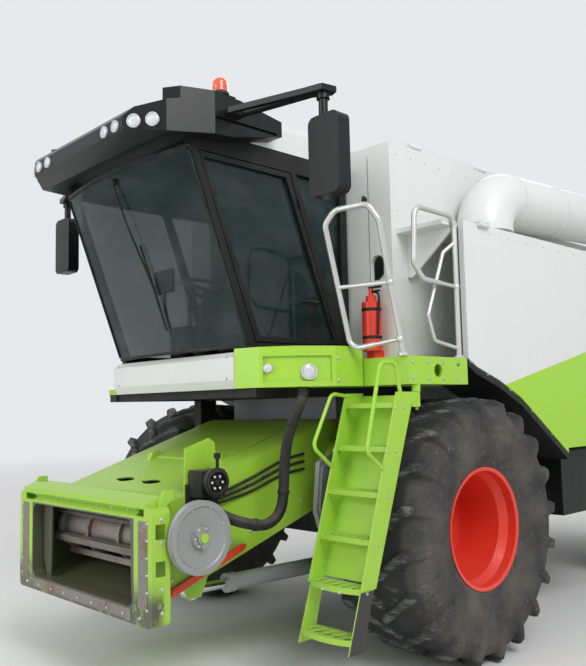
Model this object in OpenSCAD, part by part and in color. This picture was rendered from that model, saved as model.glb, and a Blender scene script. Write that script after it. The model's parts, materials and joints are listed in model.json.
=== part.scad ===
// Combine harvester on wheels, parked with no header fitted.
// +X points forwards, +Y to the machine's left, +Z up. Places along X are first
// measured from the front axle, then moved so that the origin is mid length on the ground.

/* [Wheels] */
// Radius of a front tyre, out to the lugs' tips
front_tyre_r = 930; // [900:5:950]
// Width of a front tyre
front_tyre_w = 800; // [700:10:820]
// Radius of a front rim's flange
front_rim_r = 430; // [400:5:450]
// Half of the front track, to the middle of the tyre
front_track_half = 1480; // [1460:5:1500]
// Radius of a rear tyre, out to the lugs' tips
rear_tyre_r = 700; // [650:5:720]
// Width of a rear tyre
rear_tyre_w = 500; // [450:10:520]
// Radius of a rear rim's flange
rear_rim_r = 325; // [300:5:340]
// Half of the rear track, to the middle of the tyre
rear_track_half = 1400; // [1380:5:1440]
// Distance from the front axle to the rear axle
wheelbase = 3750; // [3650:10:3850]
// Height of a tyre's lugs
lug_h = 48; // [40:1:55]

/* [Body] */
// Half of the width over the side panels
body_half_w = 1750; // [1730:5:1770]
// Half of the width of the grain tank
tank_half_w = 1280; // [1240:10:1300]
// Height of the grain tank's rim
tank_top_z = 3830; // [3780:10:3880]
// Height of the side panels' upper edge
panel_top_z = 3160; // [3120:10:3200]
// Height of the side panels' lower edge
panel_low_z = 1425; // [1420:5:1460]
// Thickness of a side panel
panel_t = 45; // [35:1:55]
// Thickness of the grain tank's walls
tank_wall = 40; // [30:1:50]
// Where the side panels end at the back
panel_back_x = -4400; // [-4500:10:-4350]
// Rear end of the straw hood
hood_back_x = -6300; // [-6400:10:-6200]

/* [Cab] */
// Half of the cab's width
cab_half_w = 850; // [830:5:870]
// Height of the cab's floor
cab_floor_z = 2000; // [1980:5:2020]
// Height of the windscreen's lower edge
glass_low_z = 2230; // [2210:5:2250]
// Height of the windscreen's upper edge
glass_high_z = 3580; // [3560:5:3600]
// Thickness of the glass
glass_t = 8; // [6:1:10]
// Foremost point of the roof's visor
visor_front_x = 2240; // [2200:5:2260]
// Forward lean of the pillars, from the lower to the upper edge of the glass
pillar_lean = 500; // [470:5:520]

/* [Feeder house] */
// Front face of the header frame
feeder_front_x = 2200; // [2150:10:2240]
// Width of the header frame
header_frame_w = 1830; // [1800:10:1860]
// Lower edge of the header frame
header_frame_low_z = 515; // [500:5:530]
// Upper edge of the header frame
header_frame_high_z = 1225; // [1210:5:1240]
// Half of the feeder house's height
feeder_r = 285; // [270:1:290]
// Radius of the grey drive pulley
pulley_r = 228; // [215:1:235]

/* [Unloading auger] */
// Radius of the auger's tube
auger_r = 225; // [200:5:235]
// Length of the auger's tube from its elbow
auger_l = 4700; // [4500:10:4900]

/* [Hidden] */
$fn = 96;
rear_lamp_t = 20;
visor_lamp_t = 12;
mid_x = (max(feeder_front_x, visor_front_x + visor_lamp_t) + hood_back_x - rear_lamp_t) / 2;
rear_x = -wheelbase;
gap = 6;
// Gap left between faces that seat on each other but move, such as a hub and its wheel
seat_gap = 0.3;

green = "YellowGreen";
white = "WhiteSmoke";
black = "#202224";
red = "OrangeRed";
grey = "SlateGray";
steel = "Silver";

// Shared shapes

// An outline in the XZ plane, given as [x, z] points, made y_size thick from y_low towards +Y.
module side_plate(y_low, y_size, points) {
    translate([0, y_low + y_size, 0]) rotate([90, 0, 0]) linear_extrude(y_size) polygon(points);
}

// A box from one corner to the other.
module block(low, high) {
    translate(low) cube(high - low);
}

// Its children on the left, and mirrored on the right.
module both_sides() {
    children();
    mirror([0, 1, 0]) children();
}

function unit(v) = v / norm(v);
function clip(x) = max(-1, min(1, x));

// Turns +Z into direction d.
module aim(d) {
    rotate([0, acos(clip(unit(d).z)), atan2(d.y, d.x)]) children();
}

// A round bar of radius r from a to b.
module rod(a, b, r) {
    translate(a) aim(b - a) cylinder(h = norm(b - a), r = r);
}

function bend_angle(a, p, b) = acos(clip(unit(p - a) * unit(b - p)));
function bend_cut(a, p, b, bend) = bend * tan(bend_angle(a, p, b) / 2);

// A bent tube of radius r through points, its corners rounded to radius bend, with a thin
// sleeve over each joint between a straight run and a bend.
module pipe(points, r, bend) {
    last = len(points) - 1;
    for (i = [0 : last - 1]) {
        d = unit(points[i + 1] - points[i]);
        cut_a = i == 0 ? 0 : bend_cut(points[i - 1], points[i], points[i + 1], bend);
        cut_b = i == last - 1 ? 0 : bend_cut(points[i], points[i + 1], points[i + 2], bend);
        rod(points[i] + d * (cut_a + (i == 0 ? 0 : 1)), points[i + 1] - d * (cut_b + (i == last - 1 ? 0 : 1)), r);
        if (i > 0) rod(points[i] + d * (cut_a - 6), points[i] + d * (cut_a + 6), r + 1);
        if (i < last - 1) rod(points[i + 1] - d * (cut_b + 6), points[i + 1] - d * (cut_b - 6), r + 1);
    }
    if (last > 1) for (i = [1 : last - 1]) pipe_bend(points[i - 1], points[i], points[i + 1], r, bend);
}

module pipe_bend(a, p, b, r, bend) {
    d = unit(p - a);
    e = unit(b - p);
    n = unit(e - d * (d * e));
    translate(p - d * bend_cut(a, p, b, bend) + n * bend) rotate(turn_to(-n, d))
        rotate_extrude(angle = bend_angle(a, p, b)) translate([bend, 0]) circle(r);
}

// The rotation that takes +X to x and +Y to y.
function turn_to(x, y) = let (z = cross(x, y))
    abs(x.z) > 0.99999 ? [atan2(-x.z * y.x, y.y), -90 * sign(x.z), 0]
        : [atan2(y.z, z.z), -asin(clip(x.z)), atan2(x.y, x.x)];

// Points on an arc in a plane, angles in degrees.
function arc(cx, cy, r, from, to, steps) =
    [for (i = [0 : steps]) let (t = from + (to - from) * i / steps) [cx + r * cos(t), cy + r * sin(t)]];

// Wheels

front_axle_z = front_tyre_r;
rear_axle_z = rear_tyre_r;
front_disc_y = 130;
rear_disc_y = 60;

// Half of a tyre's outline over its lugs, as [radius, half width] from the bead to the crown.
function lug_line(r, w, rim_r) = let (wall = r - lug_h - rim_r)
    [[rim_r + wall * 0.62, w * 0.5], [rim_r + wall * 0.80, w * 0.493], [r - 24, w * 0.455], [r, w * 0.40]];

// A tyre about the Y axis: its casing, open at the bead, and two rows of slanted lugs.
module tyre(r, w, rim_r, lugs) {
    wall = r - lug_h - rim_r;
    base = [[rim_r + seat_gap, w * 0.395], [rim_r + wall * 0.20, w * 0.455], [rim_r + wall * 0.48, w * 0.492],
        [rim_r + wall * 0.75, w * 0.478], [rim_r + wall * 0.93, w * 0.42], [rim_r + wall, w * 0.33]];
    inner = [[rim_r + seat_gap, w * 0.395 - 45], [rim_r + 60, w * 0.40], [rim_r + wall * 0.5, w * 0.5 - 45],
        [rim_r + wall - 40, w * 0.33]];
    over = lug_line(r, w, rim_r);
    rotate([-90, 0, 0]) union() {
        rotate_extrude() difference() {
            polygon(concat(base, mirrored(base)));
            polygon(concat(inner, mirrored(inner)));
        }
        intersection() {
            rotate_extrude() polygon(concat(over, mirrored(over),
                [[rim_r + wall * 0.45, -w * 0.45], [rim_r + wall - 20, -w * 0.36], [rim_r + wall - 20, w * 0.36],
                [rim_r + wall * 0.45, w * 0.45]]));
            for (side = [0, 1], i = [0 : lugs - 1]) mirror([0, 0, side]) rotate(360 * (i + side / 2) / lugs) lug(r, w, lugs);
        }
    }
}

// The same line on the other side of the tyre's middle, in reverse.
function mirrored(line) = [for (i = [len(line) - 1 : -1 : 0]) [line[i].x, -line[i].y]];

// One lug before it is trimmed: a slanted bar from just past the middle out over the shoulder.
module lug(r, w, lugs) {
    pitch = 2 * PI * r / lugs;
    thick = pitch * 0.27;
    // Points across the bar, as [along the tyre, across the tyre]
    translate([r + 5, 0, 0]) rotate([0, -90, 0]) linear_extrude(r * 0.30)
        polygon([[-w * 0.04, thick * 0.6], [w * 0.34, -pitch * 0.58], [w * 0.52, -pitch * 0.68],
            [w * 0.52, -pitch * 0.68 - thick], [w * 0.32, -pitch * 0.58 - thick * 1.1], [-w * 0.04, -thick * 0.5]]);
}

// A rim about the Y axis, its disc moved disc_y outwards from the middle.
module rim(r, w, disc_y, hub_r, bolts) {
    half = w * 0.395;
    flange = 26;
    well = r - 60;
    t = 14;
    rotate([-90, 0, 0]) difference() {
        union() {
            rotate_extrude() polygon([[r - flange, -half], [r, -half - 8], [r, -half + 12], [r - flange + t, -half + 14],
                [r - flange + t, -half + 70], [well + t, -half + 130], [well + t, half - 130],
                [r - flange + t, half - 70], [r - flange + t, half - 14], [r, half - 12], [r, half + 8],
                [r - flange, half], [r - flange, half - 66], [well, half - 126], [well, -half + 126],
                [r - flange, -half + 66]]);
            rotate_extrude() polygon([[hub_r * 0.5, disc_y], [hub_r * 1.25, disc_y], [well - 60, disc_y - 70],
                [well + 2, disc_y - 70], [well + 2, disc_y - 50], [well - 52, disc_y - 50],
                [hub_r * 1.27, disc_y + 20], [hub_r * 0.5, disc_y + 20]]);
        }
        for (a = [0 : 360 / bolts : 359]) rotate(a) translate([hub_r, 0, disc_y - 10]) cylinder(h = 60, r = 12);
    }
}

module at_front_wheel(side) {
    translate([0, side * front_track_half, front_axle_z]) mirror([0, side < 0 ? 1 : 0, 0]) children();
}
module at_rear_wheel(side) {
    translate([rear_x, side * rear_track_half, rear_axle_z]) mirror([0, side < 0 ? 1 : 0, 0]) children();
}

front_hub_r = 175;
front_lugs = 20;
rear_lugs = 18;
rear_hub_r = 120;

module front_rim() { color(red) rim(front_rim_r, front_tyre_w, -front_disc_y + 20, front_hub_r, 10); }
module front_tyre() { color(black) tyre(front_tyre_r, front_tyre_w, front_rim_r, front_lugs); }
module rear_rim() { color(red) rim(rear_rim_r, rear_tyre_w, rear_disc_y, rear_hub_r, 8); }
module rear_tyre() { color(black) tyre(rear_tyre_r, rear_tyre_w, rear_rim_r, rear_lugs); }

// Chassis

rail_y = 860;
rail_w = 100;
rail_low = front_axle_z + 100;
rail_high = rail_low + 200;
front_disc_face = front_track_half - front_disc_y + 20;
rear_disc_face = rear_track_half + rear_disc_y;

module main_frame() {
    cab_rail_z = cab_floor_z - 50;
    color(black) difference() {
        union() {
            both_sides() {
                block([-2450, rail_y, rail_low], [pivot_x + 90, rail_y + rail_w, rail_high]);
                block([pivot_x - 90, rail_y, rail_high - 1], [pivot_x + 90, rail_y + rail_w, cab_rail_z - 60]);
                block([-400, rail_y, cab_rail_z - 61], [1400, rail_y + rail_w, cab_rail_z]);
                block([-400, rail_y, rail_high - 1], [-300, rail_y + rail_w, cab_rail_z - 60]);
                block([-2450, rear_rail_y, rail_low], [-2401, rail_y + 1, rail_high]);
                block([house_back_x, rear_rail_y, rail_low], [-2401, rear_rail_y + rear_rail_w, rail_high]);
                for (x = [420, 1190]) translate([x, 640, cab_rail_z - 1]) cylinder(h = 51, r = 55);
            }
            for (x = [380, 1150, 1300]) block([x, -rail_y - 1, cab_rail_z - 61], [x + 80, rail_y + 1, cab_rail_z]);
            block([house_back_x, -rear_rail_y - 1, rail_low], [house_back_x + 60, rear_rail_y + 1, rail_high - 20]);
        }
        translate([pivot_x, -rail_y - rail_w - 1, pivot_z]) rotate([-90, 0, 0])
            cylinder(h = 2 * (rail_y + rail_w) + 2, r = pivot_pin_r + 0.1);
    }
}

pivot_x = 430;
pivot_z = 1430;
pivot_pin_r = 45;
rear_rail_w = 70;
axle_z = front_axle_z;
lug_x = 250;
lug_z = 600;
cylinder_y = 600;
lug_pin_r = 25;

// The driving axle: its beam, a final drive and a hub at each end, and the lugs of the lift cylinders.
module front_axle() {
    color(black) union() {
        block([-130, -rail_y - rail_w - 1, axle_z - 170], [130, rail_y + rail_w + 1, rail_low]);
        both_sides() {
            translate([0, rail_y + rail_w, axle_z]) rotate([-90, 0, 0]) cylinder(h = 119, r = 250);
            translate([0, rail_y + rail_w + 118, axle_z]) rotate([-90, 0, 0])
                cylinder(h = front_disc_face - seat_gap - rail_y - rail_w - 118, r = front_hub_r + 35);
            translate([0, front_disc_face - 1, axle_z]) rotate([-90, 0, 0])
                cylinder(h = 61, r = front_hub_r * 0.5 - 0.1);
            for (s = [-1, 1]) side_plate(cylinder_y + s * 43 - 7, 14, [[129, axle_z - 60], [129, axle_z - 169],
                [120, axle_z - 171], [200, lug_z - 50], [lug_x + 30, lug_z - 50], [lug_x + 50, lug_z],
                [lug_x + 30, lug_z + 50], [lug_x - 20, lug_z + 60]]);
            translate([lug_x, cylinder_y - 49, lug_z]) rotate([-90, 0, 0]) cylinder(h = 98, r = lug_pin_r);
        }
    }
}

kingpin_y = 1090;
beam_h = 190;
jaw_h = 230;

// The steered axle's beam, its fork at each end holding the kingpin, the pivot bracket up to the
// frame, and the tow hitch behind.
module rear_axle() {
    z = rear_axle_z;
    beam_end = kingpin_y - 190;
    color(black) translate([rear_x, 0, z]) difference() {
        union() {
            block([-95, -beam_end, -beam_h / 2], [95, beam_end, beam_h / 2]);
            both_sides() {
                for (s = [-1, 1]) translate([0, 0, s * (jaw_h / 2 - jaw_t / 2) - jaw_t / 2]) {
                    translate([0, kingpin_y, 0]) cylinder(h = jaw_t, r = 62);
                    block([-62, beam_end - 1, 0], [62, kingpin_y, jaw_t]);
                }
                block([-75, beam_end - 30, -jaw_h / 2], [75, beam_end + 30, jaw_h / 2]);
            }
            block([-150, -260, beam_h / 2 - 1], [150, 260, rail_low - z - 30]);
            block([-60, -rear_rail_y - rear_rail_w, rail_low - z - 60], [60, rear_rail_y + rear_rail_w, rail_low - z]);
            for (s = [-1, 1]) translate([0, 0, s * 40 - 10]) {
                block([-hitch_l, -55, 0], [-94, 55, 20]);
                translate([-hitch_l, 0, 0]) cylinder(h = 20, r = 55);
            }
        }
        both_sides() translate([0, kingpin_y, -jaw_h]) cylinder(h = 2 * jaw_h, r = kingpin_r + 0.1);
        translate([-hitch_l, 0, -60]) cylinder(h = 120, r = hitch_hole_r);
    }
}

jaw_t = 50;
kingpin_r = 30;
hitch_l = 380;
hitch_hole_r = 16;
rear_rail_y = 720;

// The knuckle between the fork's jaws, with its spindle out to the hub and its steering arm behind.
module knuckle() {
    half = jaw_h / 2 - jaw_t - seat_gap;
    color(black) translate([rear_x, 0, rear_axle_z]) union() {
        translate([0, kingpin_y, -half]) cylinder(h = 2 * half, r = 60);
        translate([0, kingpin_y, -jaw_h / 2 - 10]) cylinder(h = jaw_h + 20, r = kingpin_r);
        translate([0, kingpin_y, 0]) rotate([-90, 0, 0]) cylinder(h = rear_disc_face - kingpin_y - 60, r = 55);
        translate([0, rear_disc_face - 62, 0]) rotate([-90, 0, 0]) cylinder(h = 62 - seat_gap, r = rear_hub_r + 30);
        translate([0, rear_disc_face - 1, 0]) rotate([-90, 0, 0]) cylinder(h = 56, r = rear_hub_r * 0.5 - 0.1);
        hull() {
            translate([0, kingpin_y, arm_z]) cylinder(h = arm_t, r = 50, $fn = 32);
            translate([-arm_l, arm_y, arm_z]) cylinder(h = arm_t, r = 34, $fn = 32);
        }
    }
}

arm_l = 230;
arm_y = 1040;
arm_z = -60;
arm_t = 26;

// The rod that ties the two steering arms, its eyes just below them.
module tie_rod() {
    color(black) translate([rear_x - arm_l, 0, rear_axle_z + arm_z - seat_gap - 20]) union() {
        rotate([-90, 0, 0]) translate([0, 0, -arm_y]) cylinder(h = 2 * arm_y, r = 19);
        both_sides() translate([0, arm_y, -20]) cylinder(h = 40, r = 36);
    }
}

// Threshing and cleaning

house_top = 1960;
house_low = 800;
house_front = pivot_x - feeder_r - 20;
rear_house_y = 719.5;
rear_house_top = 2560;
house_back_x = -4700;

// The threshing housing, with the separator's housing behind it.
module threshing_housing() {
    color(grey) union() {
        side_plate(-rail_y, 2 * rail_y, [[house_front, rail_low + 10], [house_front, house_top - 60],
            [house_front - 60, house_top], [-2400, house_top], [-2400, house_low], [-560, house_low],
            [-300, axle_z], [-220, rail_low + 10]]);
        side_plate(-rear_house_y, 2 * rear_house_y, [[-2399, rear_house_top], [-2399, house_low],
            [-2700, 700], [-3000, 830], [-3280, rail_low + 10], [house_back_x, rail_high + 1], [house_back_x, rear_house_top]]);
        // The floor of the engine bay
        block([panel_back_x, -bay_half_w, rear_house_top - 1], [tank_back_x, bay_half_w, bay_floor_z]);
    }
}

// The sieve box, hung under the housing in front of the rear axle.
module cleaning_shoe() {
    color(steel) side_plate(-640, 1280, [[-560, 640], [-2300, 560], [-2650, 620], [-2650, 700],
        [-2399, house_low - 15], [-2399, house_low], [-560, house_low]]);
}

// Feeder house

feeder_slope = 18.3;
feeder_half_w = 750;
feeder_wall = 16;
frame_back_x = feeder_front_x - 130;

function slope_z(x, side) = pivot_z + side * feeder_r / cos(feeder_slope) - (x - pivot_x) * tan(feeder_slope);

// The feeder's side outline with its edges drawn in by inset, open at the front.
function feeder_outline(inset, front_x) = concat(
    arc(pivot_x, pivot_z, feeder_r - inset, 90 - feeder_slope, 270 - feeder_slope, 16),
    [[front_x, slope_z(front_x, -1) + inset / cos(feeder_slope)],
    [front_x, slope_z(front_x, 1) - inset / cos(feeder_slope)]]);

module feeder_house() {
    color(green) union() {
        difference() {
            side_plate(-feeder_half_w, 2 * feeder_half_w, feeder_outline(0, frame_back_x));
            side_plate(-feeder_half_w + feeder_wall, 2 * feeder_half_w - 2 * feeder_wall,
                feeder_outline(feeder_wall, frame_back_x + 5));
            block([0, -feeder_half_w + 60, pivot_z - 180], [pivot_x - 120, feeder_half_w - 60, pivot_z + 160]);
            for (p = leaf_places) leaf(p);
        }
        for (x = feeder_rib_x) side_plate(-feeder_half_w + 30, 2 * feeder_half_w - 60, [[x - 22, slope_z(x - 22, 1) - 2],
            [x - 12, slope_z(x - 12, 1) + 16], [x + 12, slope_z(x + 12, 1) + 16], [x + 22, slope_z(x + 22, 1) - 2]]);
        // The bracket that the coupler's lines pass, on the upper left edge
        side_plate(feeder_half_w - 22, 16, [[1570, slope_z(1570, 1) - 3], [1590, 1590], [1640, 1620], [1830, 1560],
            [1840, slope_z(1840, 1) - 3]]);
        // The inspection cover on the upper rear half
        side_plate(-480, 960, [[820, slope_z(820, 1) - 2], [820, slope_z(820, 1) + 12], [1320, slope_z(1320, 1) + 12],
            [1320, slope_z(1320, 1) - 2]]);
        for (y = [-440, 380]) side_plate(y, 60, [[1280, slope_z(1280, 1) + 8], [1290, slope_z(1290, 1) + 48],
            [1350, slope_z(1350, 1) + 48], [1380, slope_z(1380, 1) - 2], [1340, slope_z(1340, 1) - 2]]);
        both_sides() {
            translate([pivot_x, feeder_half_w - 1, pivot_z]) rotate([-90, 0, 0]) cylinder(h = 100, r = 110);
            translate([pivot_x, feeder_half_w - 1, pivot_z]) rotate([-90, 0, 0]) cylinder(h = 206, r = pivot_pin_r);
            for (s = [-1, 1]) side_plate(cylinder_y + s * 42.5 - 7.5, 15, [[eye_x - 140, slope_z(eye_x - 140, -1) + 2],
                [eye_x - 55, eye_z - 45], [eye_x + 45, eye_z - 45], [eye_x + 110, slope_z(eye_x + 110, -1) + 2]]);
            translate([eye_x, cylinder_y - 49, eye_z]) rotate([-90, 0, 0]) cylinder(h = 98, r = eye_pin_r);
            // Bearing boss of the drive pulley
            translate([pulley_x, feeder_half_w - 1, pulley_z]) rotate([-90, 0, 0]) cylinder(h = 120, r = 70);
            translate([pulley_x, feeder_half_w + 118, pulley_z]) rotate([-90, 0, 0])
                cylinder(h = pulley_y + 85 - feeder_half_w - 118, r = pulley_shaft_r);
        }
    }
}

// Ribs across the feeder house's top, measured along X
feeder_rib_x = [1910, 2015];
// Middle of each leaf shaped cut-out in the top, as [x, y]
leaf_places = [[1707, -204], [1707, 145]];
leaf_r = 200;
leaf_half_w = 42;

// A leaf shaped opening, where two upright cylinders cross.
module leaf(p) {
    translate([p.x, p.y, slope_z(p.x, 1) - 60]) intersection() {
        translate([leaf_r - leaf_half_w, 0, 0]) cylinder(h = 120, r = leaf_r);
        translate([leaf_half_w - leaf_r, 0, 0]) cylinder(h = 120, r = leaf_r);
    }
}

eye_x = 1700;
eye_z = 615;
eye_pin_r = 22;
eye_hole_r = 42;
pulley_x = 1880;
pulley_z = 1020;
pulley_y = 930;
pulley_shaft_r = 30;

// An outline in the YZ plane, given as [y, z] points, made x_size thick from x_low towards +X.
module cross_plate(x_low, x_size, points) {
    translate([x_low, 0, 0]) rotate([90, 0, 90]) linear_extrude(x_size) polygon(points);
}

// Points of a rectangle with rounded corners.
function round_rect(low, high, r) = concat(
    arc(high.x - r, high.y - r, r, 0, 90, 4), arc(low.x + r, high.y - r, r, 90, 180, 4),
    arc(low.x + r, low.y + r, r, 180, 270, 4), arc(high.x - r, low.y + r, r, 270, 360, 4));

mouth_half_w = 700;
mouth_low = header_frame_low_z + 95;
mouth_high = header_frame_high_z - 85;

// The frame that a header hooks on to: a flanged plate round the mouth, a saddle above and lock slots below.
module header_frame() {
    half = header_frame_w / 2;
    color(green) difference() {
        union() {
            cross_plate(frame_back_x, 130, round_rect([-half, header_frame_low_z], [half, header_frame_high_z], 40));
            side_plate(-half + 60, 2 * half - 120, [[frame_back_x, header_frame_high_z - 2],
                [frame_back_x - 70, header_frame_high_z + 45], [frame_back_x - 70, header_frame_high_z + 57],
                [frame_back_x + 30, header_frame_high_z + 62], [feeder_front_x, header_frame_high_z + 25],
                [feeder_front_x, header_frame_high_z - 2]]);
        }
        cross_plate(frame_back_x - 1, 132, round_rect([-mouth_half_w, mouth_low], [mouth_half_w, mouth_high], 60));
        cross_plate(frame_back_x - 1, 118, [[-half + 12, header_frame_low_z + 12],
            [-mouth_half_w - 14, header_frame_low_z + 12], [-mouth_half_w - 14, header_frame_high_z - 12],
            [-half + 12, header_frame_high_z - 12]]);
        cross_plate(frame_back_x - 1, 118, [[half - 12, header_frame_low_z + 12],
            [mouth_half_w + 14, header_frame_low_z + 12], [mouth_half_w + 14, header_frame_high_z - 12],
            [half - 12, header_frame_high_z - 12]]);
        for (s = [-1, 1]) translate([frame_back_x + 70, s * half - 60, header_frame_low_z + lock_z]) rotate([-90, 0, 0])
            cylinder(h = 120, r = lock_hole_r);
        // The groove that parts the upper edge from the bevel above the mouth
        side_plate(-half + 90, 2 * half - 180, [[feeder_front_x + 1, header_frame_high_z - 8],
            [feeder_front_x - 42, header_frame_high_z - 38], [feeder_front_x + 1, header_frame_high_z - 66]]);
        // Windows in the corners of the frame beside the mouth
        for (s = [-1, 1], z = [header_frame_low_z + 300, header_frame_high_z - 190])
            translate([frame_back_x + 34, s * half - 60, z]) cube([70, 120, 90]);
    }
    color(green) both_sides() {
        // The worn blades that guide the crop into the mouth
        cross_plate(frame_back_x + 40, 14, [[560, mouth_low - 3], [620, mouth_low - 3], [670, mouth_low + 120],
            [670, mouth_high + 3], [540, mouth_high + 3]]);
        // Hooks beside the saddle
        side_plate(half - 59, 20, [[frame_back_x + 1, header_frame_high_z - 3], [frame_back_x - 60, header_frame_high_z + 40],
            [frame_back_x - 60, header_frame_high_z + 95], [frame_back_x + 10, header_frame_high_z + 95],
            [frame_back_x + 60, header_frame_high_z + 20], [frame_back_x + 60, header_frame_high_z - 3]]);
    }
}

lock_z = 130;
lock_hole_r = 22;

chain_front = [1850, 955];
chain_back = [pivot_x, pivot_z];
chain_r = 175;
chain_t = 26;
slat_n = 9;

// The slatted chain conveyor inside the feeder house, round its front drum.
module feeder_chain() {
    run = unit([chain_front.x - chain_back.x, chain_front.y - chain_back.y]);
    length = norm(chain_front - chain_back);
    tilt = atan2(run.y, run.x);
    function strand(r) = concat(arc(chain_back.x, chain_back.y, r, tilt + 90, tilt + 270, 12),
        arc(chain_front.x, chain_front.y, r, tilt - 90, tilt + 90, 12));
    color(steel) union() {
        for (y = [-620, -210, 210, 620]) difference() {
            side_plate(y - 20, 40, strand(chain_r));
            side_plate(y - 21, 42, strand(chain_r - chain_t));
        }
        for (i = [0 : slat_n - 1], s = [-1, 1]) translate([chain_back.x, 0, chain_back.y]) rotate([0, -tilt, 0])
            translate([length * (i + 0.5) / slat_n, 0, s * (chain_r - 3)])
                block([-25, -660, s < 0 ? -42 : 0], [25, 660, s < 0 ? 0 : 42]);
        for (a = [-60, 0, 60]) translate([chain_front.x, 0, chain_front.y]) rotate([0, -tilt - a, 0])
            block([chain_r - 4, -660, -25], [chain_r + 38, 660, 25]);
        translate([chain_front.x, -660, chain_front.y]) rotate([-90, 0, 0]) cylinder(h = 1320, r = chain_r - chain_t + 0.5);
        for (p = [chain_front, chain_back]) translate([p.x, -feeder_half_w + feeder_wall, p.y]) rotate([-90, 0, 0])
            cylinder(h = 2 * feeder_half_w - 2 * feeder_wall, r = 38);
        translate([chain_back.x, -660, chain_back.y]) rotate([-90, 0, 0]) cylinder(h = 1320, r = chain_r - chain_t + 0.5);
    }
}

// The multi-coupler for a header's hydraulic and electric lines, on its bracket on the feeder's left side.
coupler_x = 1730;
coupler_z = 1345;
coupler_r = 82;

module coupler() {
    face_y = feeder_half_w + 150;
    color(black) union() {
        block([1610, feeder_half_w, 1180], [1840, feeder_half_w + 14, 1330]);
        block([1630, feeder_half_w + 13, 1250], [1820, face_y, 1420]);
        translate([coupler_x, face_y - 1, coupler_z]) rotate([-90, 0, 0]) {
            difference() {
                union() {
                    cylinder(h = 62, r = coupler_r);
                    translate([0, 0, 40]) cylinder(h = 14, r = coupler_r + 12);
                }
                translate([0, 0, 30]) cylinder(h = 40, r = coupler_r - 14);
            }
            cylinder(h = 52, r = 17);
            for (a = [0 : 60 : 300]) rotate(a) translate([42, 0, 29]) cylinder(h = 20, r = 12);
        }
        // The lever that locks the two halves
        translate([1660, face_y - 40, 1418]) cylinder(h = 80, r = 11);
        translate([1660, face_y - 40, 1490]) cylinder(h = 36, r = 22);
    }
}

// The red bar that works the header's locks, on the feeder's left side.
latch_front = [1960, 664];
latch_back = [1392, 872];
latch_w = 46;

module latch_bar() {
    d = unit(latch_back - latch_front);
    n = [-d.y, d.x] * latch_w / 2;
    color(red) union() {
        side_plate(feeder_half_w + 18, 12, [latch_front - d * 30 + n * 0.5, latch_front - d * 30 - n * 0.5,
            latch_front - n, latch_back - n, latch_back + d * 34 - n * 0.5, latch_back + d * 34 + n * 0.5,
            latch_back + n, latch_front + n]);
        for (p = [latch_front, latch_back]) translate([p.x, feeder_half_w, p.y]) rotate([-90, 0, 0])
            cylinder(h = 42, r = 15);
    }
}

// The grey pulley that drives a header, free to turn on its shaft, with a lobed hub.
module drive_pulley() {
    color(grey) translate([pulley_x, pulley_y, pulley_z]) rotate([-90, 0, 0]) difference() {
        union() {
            rotate_extrude() polygon([[20, 0], [70, 0], [70, 20], [pulley_r - 40, 34], [pulley_r - 30, 6],
                [pulley_r, 6], [pulley_r, 18], [pulley_r - 14, 32], [pulley_r, 46], [pulley_r, 58],
                [pulley_r - 36, 58], [pulley_r - 46, 48], [75, 34], [66, 62], [20, 62]]);
            for (a = [90, 210, 330]) rotate(a) translate([52, 0, 61]) cylinder(h = 16, r = 18);
            translate([0, 0, 61]) cylinder(h = 16, r = 44);
        }
        translate([0, 0, -1]) cylinder(h = 90, r = pulley_shaft_r + 0.1);
    }
}

// Lift cylinders between the driving axle and the feeder house

lift_angle = atan2(eye_z - lug_z, eye_x - lug_x);
lift_l = norm([eye_x - lug_x, eye_z - lug_z]);
barrel_l = 1150;
barrel_r = 58;
// The barrel's body starts clear of the axle's lugs
lug_reach = 68;
lift_rod_r = 32;

module on_lift_line(side) {
    translate([lug_x, side * cylinder_y, lug_z]) rotate([0, -lift_angle, 0]) children();
}

module lift_barrels() {
    color(grey) for (side = [-1, 1]) on_lift_line(side) difference() {
        union() {
            rotate([90, 0, 0]) translate([0, 0, -34]) cylinder(h = 68, r = 52);
            rotate([0, 90, 0]) translate([0, 0, 40]) cylinder(h = 40, r = 30);
            rotate([0, 90, 0]) translate([0, 0, lug_reach]) cylinder(h = barrel_l - lug_reach, r = barrel_r);
            rotate([0, 90, 0]) translate([0, 0, barrel_l - 70]) cylinder(h = 70, r = barrel_r + 8);
        }
        rotate([90, 0, 0]) translate([0, 0, -60]) cylinder(h = 120, r = lug_pin_r + 0.1);
        rotate([0, 90, 0]) translate([0, 0, barrel_l - 500]) cylinder(h = 501, r = lift_rod_r + 0.1);
    }
}

module lift_rods() {
    color(steel) for (side = [-1, 1]) on_lift_line(side) difference() {
        union() {
            rotate([0, 90, 0]) translate([0, 0, lift_l - 620]) cylinder(h = 580, r = lift_rod_r);
            translate([lift_l, 0, 0]) rotate([90, 0, 0]) translate([0, 0, -30]) cylinder(h = 60, r = eye_hole_r + 20);
        }
        translate([lift_l, 0, 0]) rotate([90, 0, 0]) translate([0, 0, -31]) cylinder(h = 62, r = eye_hole_r);
    }
}

// Grain tank

tank_front_x = 300;
tank_back_x = -2300;
tank_low = house_top;
lid_t = 40;

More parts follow.
